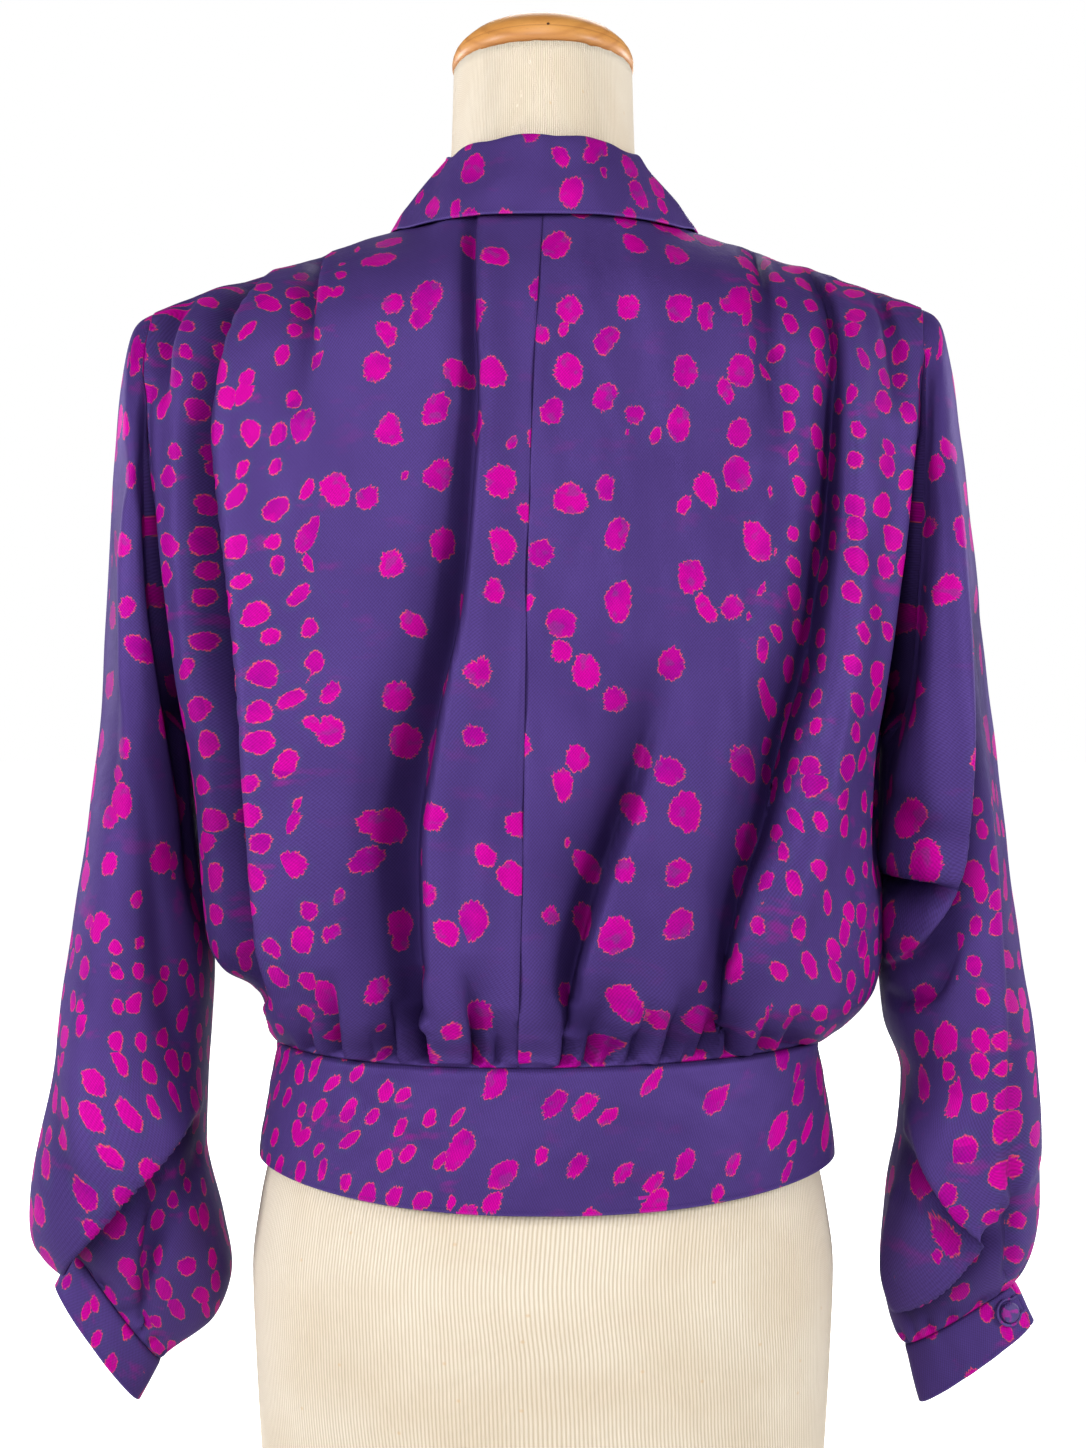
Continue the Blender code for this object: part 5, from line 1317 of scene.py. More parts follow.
class Paint:
    """A material and the nodes that it is made of."""

    def __init__(self, name):
        self.material = bpy.data.materials.new(name)
        self.material.use_nodes = True
        self.tree = self.material.node_tree
        self.shader = self.tree.nodes["Principled BSDF"]

    def node(self, kind, settings=None, inputs=None):
        made = self.tree.nodes.new(kind)
        for key, value in (settings or {}).items():
            setattr(made, key, value)
        for key, value in (inputs or {}).items():
            self.join(made.inputs[key], value)
        return made

    def join(self, socket, value):
        if isinstance(value, Field):
            self.tree.links.new(value.socket, socket)
        elif isinstance(value, bpy.types.NodeSocket):
            self.tree.links.new(value, socket)
        else:
            socket.default_value = value

    def field(self, socket):
        return Field(self, socket)

    def cloth_place(self):
        """Where a point lies on its piece's flat cloth, in metres."""
        return self.node("ShaderNodeUVMap", {"uv_map": "cloth"}).outputs["UV"]

    def object_place(self):
        return self.node("ShaderNodeTexCoord").outputs["Object"]

    def noise_node(self, place, scale, detail, rough, flat):
        settings = {"noise_dimensions": "2D" if flat else "3D"}
        inputs = {"Vector": place, "Scale": scale, "Detail": detail, "Roughness": rough}
        return self.node("ShaderNodeTexNoise", settings, inputs)

    def noise(self, place, scale, detail=2.0, rough=0.5, flat=False):
        return self.field(self.noise_node(place, scale, detail, rough, flat).outputs["Fac"])

    def scattered(self, place, scale, unevenness=1.0):
        """Points scattered one to a cell, with the nearest one's distance, place and random colour."""
        settings = {"voronoi_dimensions": "2D", "feature": "F1"}
        inputs = {"Vector": place, "Scale": scale, "Randomness": unevenness}
        return self.node("ShaderNodeTexVoronoi", settings, inputs)

    def attribute(self, name):
        return self.field(self.node("ShaderNodeAttribute", {"attribute_name": name}).outputs["Fac"])

    def vector(self, operation, a, b=None, scale=None):
        inputs = {0: a}
        if b is not None:
            inputs[1] = b
        if scale is not None:
            inputs["Scale"] = scale
        node = self.node("ShaderNodeVectorMath", {"operation": operation}, inputs)
        return node.outputs["Vector"]

    def parts(self, vector):
        node = self.node("ShaderNodeSeparateXYZ", None, {0: vector})
        return [self.field(s) for s in node.outputs]

    def blend(self, share, a, b, way="MIX"):
        settings = {"data_type": "RGBA", "blend_type": way, "clamp_factor": True}
        return self.node("ShaderNodeMix", settings, {0: share, 6: a, 7: b}).outputs[2]

    def bump(self, height, distance, strength=1.0, normal=None):
        values = {"Height": height, "Distance": distance, "Strength": strength}
        node = self.node("ShaderNodeBump", None, values)
        if normal is not None:
            self.join(node.inputs["Normal"], normal)
        return node.outputs["Normal"]

    def finish(self, colour, roughness, normal=None, **constants):
        self.join(self.shader.inputs["Base Color"], colour)
        self.join(self.shader.inputs["Roughness"], roughness)
        if normal is not None:
            self.join(self.shader.inputs["Normal"], normal)
        for key, value in constants.items():
            self.shader.inputs[key.replace("_", " ")].default_value = value
        return self.material


def colour(red, green, blue):
    """A colour given as seen on a screen, out of 255."""

    def linear(value):
        value /= 255
        return value / 12.92 if value <= 0.04045 else ((value + 0.055) / 1.055) ** 2.4

    return (linear(red), linear(green), linear(blue), 1.0)


VIOLET = colour(75, 57, 120)
DEEP_VIOLET = colour(62, 46, 103)
SLATE = colour(68, 66, 113)
MAGENTA = colour(192, 0, 144)
PLUM = colour(152, 2, 134)
CORAL = colour(222, 84, 88)
WEAVE_SHADOW = colour(30, 12, 48)
SEAM_SHADOW = colour(30, 20, 58)
STITCH_THREAD = colour(52, 40, 104)
PAINTED_EDGE_HIGHLIGHT = colour(120, 104, 180)
FOLD_SHADE = (0.24, 0.21, 0.3, 1)
VIOLET_GLOSS = (0.4, 0.34, 0.56, 1)

CREAM = colour(216, 206, 190)
OLD_CREAM = colour(208, 195, 176)
RIB_SHADOW = colour(168, 150, 122)
LOOP_SHADOW = colour(208, 192, 164)
COTTON_SPECK = colour(196, 164, 122)
DENT_SHADOW = colour(206, 190, 164)
SEAM_THREAD = colour(246, 240, 228)

HONEY = colour(194, 134, 66)
LATE_WOOD = colour(148, 90, 35)
STREAK_BROWN = colour(174, 110, 44)
PORE_BROWN = colour(112, 62, 22)
PATINA = colour(212, 160, 90)
UNDERSIDE_SHADE_BROWN = colour(138, 76, 28)
TURNED_BROWN = colour(120, 66, 24)
IRON = colour(58, 38, 24)
RUST = colour(96, 58, 30)

TWILL = 1.45 * MM
STITCH_LENGTH = 2.2 * MM
STITCH_INSET = 1.9 * MM
GROWTH_RING = 11.5 * MM
TURNED_LINE = 9.6 * MM

# Spots of the print: cell width and height, radius, stretch, how unevenly they lie, how ragged the edge is
LARGE_SPOTS = {
    "cell": (33 * MM, 36 * MM), "radius": 7.4 * MM, "long": 1.36, "scatter": 0.75, "ragged": 2.2 * MM,
}
MIDDLE_SPOTS = {
    "cell": (45 * MM, 41 * MM), "radius": 6.2 * MM, "long": 1.4, "scatter": 1.0, "ragged": 2.0 * MM,
}
SMALL_SPOTS = {
    "cell": (16.8 * MM, 19.2 * MM), "radius": 5.1 * MM, "long": 1.5, "scatter": 0.62, "ragged": 1.2 * MM,
}
# How far a spot draws in where it has no place
LARGE_AWAY = 12 * MM
SMALL_AWAY = 10 * MM


def spots(paint, place, look, shift):
    """How far inside a spot a place lies, in metres, and three random values for each spot."""
    wide, tall = look["cell"]
    moved = paint.vector("ADD", place, (shift, shift * 1.7, 0))
    cells = paint.vector("MULTIPLY", moved, (1 / wide, 1 / tall, 0))
    found = paint.scattered(cells, 1.0, look["scatter"])
    gap = paint.vector("SUBTRACT", cells, found.outputs["Position"])
    gap = paint.vector("MULTIPLY", gap, (wide, tall, 0))
    x, y, _ = paint.parts(gap)
    chance = paint.parts(found.outputs["Color"])
    lean = (chance[0] - 0.5) * 0.9
    across = x * lean.cosine() + y * lean.sine()
    along = y * lean.cosine() - x * lean.sine()
    stretch = look["long"] * (0.8 + chance[1] * 0.4)
    across = across * stretch.root()
    along = along / stretch.root()
    distance = (across * across + along * along).root()
    direction = paint.vector("NORMALIZE", gap)
    apart = paint.vector("SCALE", found.outputs["Color"], scale=53.0)
    broad = paint.vector("ADD", paint.vector("SCALE", direction, scale=0.8), apart)
    narrow = paint.vector("ADD", paint.vector("SCALE", direction, scale=5.5), apart)
    lobes = paint.noise(broad, 1.0, 1.0)
    rags = paint.noise(narrow, 1.0, 3.0, 0.7)
    radius = look["radius"] * (0.74 + chance[2] * 0.5) * (0.74 + lobes * 0.52)
    ragged = (rags - 0.5) * (2.6 * look["ragged"])
    return radius + ragged - distance, chance


def printed_satin():
    """Violet satin with irregular magenta spots, each with a thin coral edge, over a fine twill, with
    painted shade in its folds and a painted highlight along its hems.
    """
    paint = Paint("printed_satin")
    place = paint.cloth_place()
    crowd = paint.attribute("crowd")
    seam = paint.attribute("seam")
    hem = paint.attribute("hem")
    fine = paint.noise(place, 900.0, 2.0, 0.6, True)
    warp = paint.noise_node(place, 46.0, 1.0, 0.5, True)
    wander = paint.vector("SUBTRACT", warp.outputs["Color"], (0.5, 0.5, 0.5))
    wander = paint.vector("ADD", place, paint.vector("SCALE", wander, scale=0.005))
    large, large_chance = spots(paint, wander, LARGE_SPOTS, 0.0)
    middle, middle_chance = spots(paint, wander, MIDDLE_SPOTS, 0.317)
    small, small_chance = spots(paint, wander, SMALL_SPOTS, 0.141)
    few = (crowd - 0.45 - large_chance[1] * 0.35).ramp(0, 0.12)
    large = large - few * LARGE_AWAY
    few = (crowd - 0.25 - middle_chance[0] * 0.5).ramp(0, 0.12)
    gone = middle_chance[2].ramp(0.45, 0.5)
    middle = middle - few.most(gone) * LARGE_AWAY
    many = (crowd - 0.18 - small_chance[2] * 0.5).ramp(0, 0.14)
    rare = (small_chance[0] * 0.5 + small_chance[1] * 0.5).ramp(0.84, 0.86)
    small = small - (1 - many.most(rare * 0.8)) * SMALL_AWAY
    teeth = paint.noise(paint.vector("MULTIPLY", place, (260.0, 420.0, 0)), 1.0, 2.0, 0.6, True)
    inside = large.most(middle).most(small) + (fine - 0.5) * (0.35 * MM) + (teeth - 0.5) * (1.5 * MM)
    spot = inside.ramp(-0.12 * MM, 0.14 * MM)

    patches = paint.noise(place, 60.0, 2.0, 0.5, True)
    tone = (large_chance[0] * 0.5 + patches * 0.9 - 0.45).ramp(0.1, 0.6)
    ink = paint.blend(tone, MAGENTA, PLUM)
    toned = paint.noise(wander, 140.0, 1.0, 0.5, True).ramp(0.58, 0.72) * (1 - crowd) * 0.4
    ink = paint.blend(toned, ink, VIOLET)
    clouds = paint.noise(place, 11.0, 3.0, 0.5, True).ramp(0.35, 0.7)
    ground = paint.blend(clouds * 0.55, VIOLET, DEEP_VIOLET)
    halo = inside.ramp(-3.2 * MM, -0.2 * MM) * (0.25 + crowd * 0.35)
    ground = paint.blend(halo, ground, SLATE)
    smudge = paint.noise(paint.vector("MULTIPLY", place, (30.0, 52.0, 0)), 1.0, 3.0, 0.65, True)
    smudge = smudge.ramp(0.6, 0.76) * (0.1 + crowd * 0.45)
    ground = paint.blend(smudge, ground, PLUM)
    face = paint.blend(spot, ground, ink)
    broken = paint.noise(place, 420.0, 1.0, 0.5, True).ramp(0.34, 0.56)
    outline = (1 - abs(inside - 0.12 * MM) / (0.42 * MM)).ramp(0, 0.7) * broken * 0.85
    face = paint.blend(outline, face, CORAL)

    u, v, _ = paint.parts(place)
    twill = ((u + v * 0.8) * (2 * math.pi / TWILL)).sine()
    cross = ((u - v * 0.7) * (2 * math.pi / (1.25 * TWILL))).sine()
    weave = twill * 0.5 + cross * 0.25 + fine * 0.8
    face = paint.blend((weave * 0.26 + 0.09).ramp(0, 1), face, WEAVE_SHADOW)
    sunk = (1 - seam.ramp(0.1 * MM, 0.7 * MM)) * 0.5
    face = paint.blend(sunk, face, SEAM_SHADOW)
    dash = (abs((u + v).rest(STITCH_LENGTH)) / STITCH_LENGTH).ramp(0.3, 0.4)
    stitch = (1 - abs(hem - STITCH_INSET) / (0.28 * MM)).ramp(0, 0.6) * dash
    face = paint.blend(stitch * 0.5, face, STITCH_THREAD)
    # Painted highlight: a paler line along the hems, where the folded edge catches light
    edge_highlight_share = (1 - hem.ramp(0.1 * MM, 0.7 * MM)) * 0.1
    face = paint.blend(edge_highlight_share, face, PAINTED_EDGE_HIGHLIGHT)
    # Painted shade: the colour is darkened in folds, under laps, at the tops of the band and cuffs and
    # where the body and sleeves meet
    face = paint.blend(paint.attribute("deep") * 0.9, face, FOLD_SHADE, "MULTIPLY")

    crinkle = paint.noise(place, 95.0, 3.0, 0.5, True) * 0.5 + paint.noise(place, 34.0, 2.0, 0.5, True)
    normal = paint.bump(crinkle, 1.1 * MM, 0.55)
    normal = paint.bump(weave * 0.5 - stitch * 1.5, 0.09 * MM, 0.8, normal)
    rough = 0.5 + fine * 0.08 + spot * 0.03
    gloss = {"Specular_IOR_Level": 0.09, "Metallic": 0.25, "Specular_Tint": VIOLET_GLOSS}
    return paint.finish(face, rough, normal, **gloss)


def plain_satin():
    """The blouse's ground cloth alone, drawn tight over buttons and rolled into loops."""
    paint = Paint("plain_satin")
    place = paint.object_place()
    x, y, z = paint.parts(place)
    twill = ((x + z * 0.8 + y * 0.6) * (2 * math.pi / TWILL)).sine()
    folds = paint.noise(place, 330.0, 2.0, 0.55)
    clouds = paint.noise(place, 120.0, 2.0)
    face = paint.blend(clouds.ramp(0.4, 0.65), VIOLET, DEEP_VIOLET)
    face = paint.blend(paint.noise(place, 160.0, 1.0).ramp(0.6, 0.66) * 0.7, face, PLUM)
    normal = paint.bump(folds, 0.5 * MM, 0.7)
    normal = paint.bump(twill, 0.05 * MM, 0.7, normal)
    return paint.finish(face, 0.42 + folds * 0.1, normal, Specular_IOR_Level=0.2)


def ribbed_jersey():
    """Cream cotton with fine upright ribs, lightly aged, with a zigzag seam down the back."""
    paint = Paint("ribbed_jersey")
    place = paint.cloth_place()
    u, v, _ = paint.parts(place)
    sway = paint.noise(paint.vector("MULTIPLY", place, (6.0, 9.0, 0)), 1.0, 2.0, 0.5, True)
    across = u + (sway - 0.5) * (5 * MM)
    ribs = (across * (2 * math.pi / RIB)).sine()
    loops = ((v + ribs * (0.25 * MM)) * (2 * math.pi / (1.15 * MM))).sine()
    fuzz = paint.noise(place, 1300.0, 2.0, 0.6, True)
    clouds = paint.noise(place, 14.0, 3.0, 0.55, True)
    face = paint.blend(clouds.ramp(0.35, 0.7), CREAM, OLD_CREAM)
    face = paint.blend((0.5 - ribs * 0.5).ramp(0.3, 1.0) * 0.65, face, RIB_SHADOW)
    face = paint.blend(loops.ramp(0.2, 1.0) * 0.12, face, LOOP_SHADOW)
    flecks = paint.scattered(place, 34.0)
    speck = 1 - paint.field(flecks.outputs["Distance"]).ramp(0.018, 0.045)
    chosen = paint.parts(flecks.outputs["Color"])[0].ramp(0.62, 0.66)
    face = paint.blend(speck * chosen * 0.5, face, COTTON_SPECK)
    seam = paint.attribute("seam")
    dent = 1 - seam.ramp(0.4 * MM, 2.6 * MM)
    zigzag = abs((v / (3.4 * MM)).rest(1.0) - 0.5) * (3.2 * MM)
    thread = 1 - abs(seam - zigzag * 0.4).ramp(0.1 * MM, 0.5 * MM)
    face = paint.blend(dent * 0.12, face, DENT_SHADOW)
    face = paint.blend(thread * 0.35, face, SEAM_THREAD)
    normal = paint.bump(ribs * 0.5 + loops * 0.12 + fuzz * 0.3, 0.4 * MM, 0.75)
    normal = paint.bump(thread * 0.5 - dent, 0.25 * MM, 0.6, normal)
    rough = 0.9 - fuzz * 0.06
    bloom = {"Specular_IOR_Level": 0.25, "Sheen_Weight": 0.15, "Sheen_Roughness": 0.5}
    return paint.finish(face, rough, normal, **bloom)


def varnished_wood():
    """Honey-brown turned wood under varnish, with grain rings that the turning has cut through, and painted
    shade on its underside.
    """
    paint = Paint("varnished_wood")
    place = paint.object_place()
    warp = paint.noise(place, 26.0, 3.0, 0.5)
    x, y, z = paint.parts(place)
    depth = (y * 0.86 + z * 1.5 + x * 0.12) + (warp - 0.5) * (9 * MM)
    rings = (depth * (2 * math.pi / GROWTH_RING)).sine() * 0.5 + 0.5
    late = rings.ramp(0.62, 1.0)
    streaks = paint.noise(paint.vector("MULTIPLY", place, (60.0, 420.0, 900.0)), 1.0, 3.0, 0.6)
    pores = paint.noise(paint.vector("MULTIPLY", place, (170.0, 900.0, 1500.0)), 1.0, 2.0, 0.7)
    face = paint.blend(late * 0.4, HONEY, LATE_WOOD)
    face = paint.blend(streaks.ramp(0.4, 0.75) * 0.4, face, STREAK_BROWN)
    face = paint.blend(pores.ramp(0.64, 0.74) * 0.5, face, PORE_BROWN)
    patina = paint.noise(place, 40.0, 2.0, 0.5)
    face = paint.blend(patina.ramp(0.5, 0.8) * 0.35, face, PATINA)
    height = z - y * math.tan(math.radians(CAP_TILT)) - FORM_ROWS[-1][0] * MM
    # Painted shade: the cap's lowest millimetres, its underside, are darkened
    low = 1 - height.ramp(1 * MM, 8 * MM)
    face = paint.blend(low * 0.45, face, UNDERSIDE_SHADE_BROWN)
    turned = 1 - (abs(height - TURNED_LINE) / (0.7 * MM)).ramp(0, 1)
    face = paint.blend(turned * 0.4, face, TURNED_BROWN)
    normal = paint.bump(streaks * 0.6 + pores - turned * 2.0, 0.12 * MM, 0.35)
    rough = 0.42 + streaks * 0.14
    varnish = {"Specular_IOR_Level": 0.45, "Coat_Weight": 0.22, "Coat_Roughness": 0.3}
    return paint.finish(face, rough, normal, **varnish)


def dark_nail():
    paint = Paint("dark_nail")
    place = paint.object_place()
    rust = paint.noise(place, 1800.0, 2.0)
    face = paint.blend(rust.ramp(0.4, 0.6), IRON, RUST)
    return paint.finish(face, 0.45 + rust * 0.3, paint.bump(rust, 0.1 * MM, 0.5), Metallic=0.6)


# Building


def make_blouse(satin):
    """Every cloth piece, each in place of its solid. Returns the grids that the buttons sit on."""
    panels = {place: bodice_base(*place) for place in PANELS}
    bases = {}
    for (side, face), name in PANELS.items():
        bases[name] = (panels[side, face], False, side * -face)
    for side, word in SIDES.items():
        bases[f"sleeve_{word}"] = (sleeve_base(side), True, side)
        bases[f"cuff_{word}"] = (cuff_base(side), True, side)
    bases["waistband"] = (band_base(panels), False, 1)
    normals = shared_normals(bases)
    bases["collar"] = (collar_base(), False, 1)
    normals["collar"] = grid_normals(bases["collar"][0], False)
    if normals["collar"][-2, normals["collar"].shape[1] // 2, 1] < 0:
        normals["collar"] = -normals["collar"]

    def worked(make, name, *which):
        return make(*which, bases[name][0], normals[name])

    made = {}
    for side, word in SIDES.items():
        for face in (1, -1):
            name = PANELS[side, face]
            made[name] = (*worked(bodice, name, side, face), SATIN, False)
        made[f"sleeve_{word}"] = (*worked(sleeve, f"sleeve_{word}", side), SATIN, True)
        made[f"cuff_{word}"] = (*worked(cuff, f"cuff_{word}", side), DOUBLE, True)
    made["waistband"] = (*worked(waistband, "waistband"), DOUBLE, False)
    made["collar"] = (*worked(collar, "collar"), DOUBLE, False)

    pieces = {}
    for name, (grid, prints, attributes, thickness, closed) in made.items():
        normal = normals[name]
        if thickness == DOUBLE:
            grid = turned_hem(grid, normal)
            normal = extended(normal, len(grid))
            prints = extended(prints, len(grid))
            attributes = {key: extended(values, len(grid)) for key, values in attributes.items()}
        obj = sheet_mesh(f"{name}_satin", grid, closed, normal, prints, attributes)
        give_thickness(obj, thickness)
        pieces[name] = finish_piece(obj, name, satin)
    return panels, bases["waistband"][0], pieces


def make_form(jersey):
    """The padded torso under its ribbed cover, the cover's cut edge uneven under the wooden cap."""
    around = np.arange(FORM_COLUMNS) * 2 * math.pi / FORM_COLUMNS
    even = np.linspace(0, FORM_ROWS[-1][0], FORM_LEVELS + 1)
    grid = []
    for z in (*FORM_FOOT_LEVELS, *even[2:]):
        half, back, front, square, tilt = (smooth(z, FORM_ROWS, k) for k in range(1, 6))
        tuck = 1 - (1 - FORM_TUCK) * ease((z - HIDDEN_FROM) / TUCK_RISE) * ease((HIDDEN_TO - z) / TUCK_FALL)
        if z < FORM_FOOT_ROUND:
            tuck *= 1 - FORM_FOOT_INSET * (1 - z / FORM_FOOT_ROUND) ** 2
        x = half * signed_power(np.cos(around), 2 / square) * tuck
        y = np.where(np.sin(around) > 0, back, front) * signed_power(np.sin(around), 2 / square) * tuck
        lift = y * np.tan(np.radians(tilt))
        grid.append(np.stack([x, y, z + lift], axis=-1) * MM)
    grid = np.array(grid)
    draw = np.random.default_rng(12)
    nicks = np.repeat(draw.uniform(-0.5, 0.5, FORM_COLUMNS // 2), 2) + draw.uniform(-0.3, 0.3, FORM_COLUMNS)
    grid[-1, :, 2] += nicks * FORM_NICKS
    closed = np.concatenate([grid, grid[:, :1]], axis=1)
    across, down = lengths(closed, 1), lengths(closed, 0)
    girth = across[:, -1:].mean() * np.linspace(0, 1, FORM_COLUMNS + 1)[None, :]
    prints = np.stack([across * 0.5 + girth * 0.5, down], axis=-1)
    seam_x = FORM_SEAM_X - (grid[..., 2] - FORM_SEAM_Z) * FORM_SEAM_LEAN
    seam = np.where(grid[..., 1] > 0, np.abs(grid[..., 0] - seam_x), FAR)
    seam = np.where(grid[..., 2] > FORM_SEAM_FROM, seam, FAR)
    outward = grid * np.array([1, 1, 0])
    obj = sheet_mesh("form_torso_jersey", grid, True, outward, prints, {"seam": np.clip(seam, 0, FAR)})
    shape = bmesh.new()
    shape.from_mesh(obj.data)
    rims = [edge for edge in shape.edges if edge.is_boundary]
    for at_top in (False, True):
        rim = [edge for edge in rims if (edge.verts[0].co.z > FORM_ROWS[-1][0] / 2 * MM) == at_top]
        bmesh.ops.contextual_create(shape, geom=rim)
    bmesh.ops.recalc_face_normals(shape, faces=shape.faces)
    shape.to_mesh(obj.data)
    shape.free()
    obj.data.shade_smooth()
    finish_piece(obj, "form_torso", jersey)
    return obj


def make_cap(wood, nail):
    """The neck cap, turned: a circle extruded and sized along its profile, then closed at its crown."""
    neck = FORM_ROWS[-1]
    foot = Vector((0, (neck[2] - neck[3]) / 2 * MM, neck[0] * MM + CAP_CLEAR))
    first = CAP_PROFILE[0]
    bpy.ops.object.select_all(action="DESELECT")
    bpy.ops.mesh.primitive_circle_add(vertices=CAP_SEGMENTS, radius=first[0] * MM, fill_type="NGON")
    cap = bpy.context.object
    cap.name = "form_neck_cap_turned"
    bpy.ops.object.mode_set(mode="EDIT")
    bpy.ops.mesh.select_all(action="DESELECT")
    bpy.ops.mesh.select_mode(type="EDGE")
    bpy.ops.mesh.select_all(action="SELECT")
    for (radius, height), (radius_2, height_2) in zip(CAP_PROFILE[:-1], CAP_PROFILE[1:]):
        bpy.ops.mesh.extrude_region_move(
            MESH_OT_extrude_region={},
            TRANSFORM_OT_translate={"value": (0, 0, (height_2 - height) * MM)},
        )
        share = radius_2 / radius
        bpy.ops.transform.resize(value=(share, share, 1), center_override=(0, 0, height_2 * MM))
    bpy.ops.mesh.extrude_region_move(
        MESH_OT_extrude_region={},
        TRANSFORM_OT_translate={"value": (0, 0, (CAP_TOP - CAP_PROFILE[-1][1]) * MM)},
    )
    bpy.ops.mesh.merge(type="CENTER")
    bpy.ops.mesh.select_all(action="SELECT")
    bpy.ops.mesh.normals_make_consistent(inside=False)
    bpy.ops.object.mode_set(mode="OBJECT")
    cap.location = foot
    cap.rotation_euler = (math.radians(CAP_TILT), 0, 0)
    active(cap)
    bpy.ops.object.transform_apply(location=True, rotation=True, scale=True)
    bpy.ops.object.shade_smooth_by_angle(angle=CAP_SMOOTH)
    finish_piece(cap, "form_neck_cap", wood)

    place = foot + Matrix.Rotation(math.radians(CAP_TILT), 3, "X") @ Vector(NAIL_PLACE)
    bpy.ops.object.select_all(action="DESELECT")
    bpy.ops.mesh.primitive_uv_sphere_add(segments=20, ring_count=10, radius=NAIL_RADIUS, location=place)
    head = bpy.context.object
    head.name = "form_cap_nail"
    head.scale = (1, NAIL_FLATNESS, 1)
    head.rotation_euler = (math.radians(NAIL_TURN), 0, 0)
    active(head)
    bpy.ops.object.transform_apply(location=True, rotation=True, scale=True)
    bpy.ops.object.shade_smooth_by_angle(angle=SMALL_SMOOTH)
    head.data.materials.append(nail)
    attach(head, "root")


def covered_button(node, place, outward, cover):
    """A button drawn over with cloth: a dome whose cover is gathered to a flat back."""
    normal = Vector(outward).normalized()
    bpy.ops.object.select_all(action="DESELECT")
    bpy.ops.mesh.primitive_uv_sphere_add(segments=40, ring_count=24, radius=BUTTON_RADIUS)
    made = bpy.context.object
    made.name = f"{node}_covered"
    bpy.ops.object.mode_set(mode="EDIT")
    bpy.ops.mesh.select_all(action="SELECT")
    bpy.ops.transform.resize(value=(1, 1, BUTTON_THICK / 2 / BUTTON_RADIUS))
    bpy.ops.mesh.select_all(action="DESELECT")
    shape = bmesh.from_edit_mesh(made.data)
    for vert in shape.verts:
        vert.select = vert.co.z < -BUTTON_BACK_FROM * BUTTON_THICK / 2
    shape.select_flush(True)
    bmesh.update_edit_mesh(made.data)
    bpy.ops.transform.resize(value=BUTTON_BACK, center_override=(0, 0, -0.5 * BUTTON_THICK / 2))
    bpy.ops.mesh.select_all(action="DESELECT")
    shape = bmesh.from_edit_mesh(made.data)
    for vert in shape.verts:
        rim = abs(vert.co.z + 0.1 * BUTTON_THICK) < 0.16 * BUTTON_THICK
        vert.select = rim and round(math.degrees(math.atan2(vert.co.y, vert.co.x))) % BUTTON_PLEATS == 0
    shape.select_flush(True)
    bmesh.update_edit_mesh(made.data)
    bpy.ops.transform.resize(value=BUTTON_PINCH)
    bpy.ops.object.mode_set(mode="OBJECT")
    made.location = Vector(place) + normal * (BUTTON_THICK / 2 + GAP)
    made.rotation_euler = normal.to_track_quat("Z", "Y").to_euler()
    active(made)
    bpy.ops.object.transform_apply(location=True, rotation=True, scale=True)
    bpy.ops.object.shade_smooth_by_angle(angle=SMALL_SMOOTH)
    return finish_piece(made, node, cover)


def at_centre(grid, k):
    """Where a row of the upper lap crosses the centre, and the cloth's outward normal there."""
    row = grid[k]
    j = int(np.argmax(row[:-1, 0] * row[1:, 0] <= 0))
    share = row[j, 0] / (row[j, 0] - row[j + 1, 0])
    across = row[j + 1] - row[j]
    down = grid[k + 1, j] - grid[k - 1, j]
    normal = np.cross(across, down)
    normal *= -np.sign(normal[1])
    return row[j] + across * share, normal / np.linalg.norm(normal)


def make_fastenings(panels, band, cover):
    front = panels[-1, -1]
    for i, height in enumerate(FRONT_BUTTONS):
        k = int(np.argmin(np.abs(front[:, 0, 2] - height * MM)))
        covered_button(f"button_front_{i + 1}", *at_centre(front, k), cover)
    upper_lap = band[:, -UPPER_LAP_COLUMNS:]
    for i, share in enumerate(BAND_BUTTON_SHARES):
        place, outward = at_centre(upper_lap, round(share * BAND_ROWS))
        covered_button(f"button_band_{i + 1}", place, outward, cover)
    for side, word in SIDES.items():
        cuff_fastening(side, word, cover)


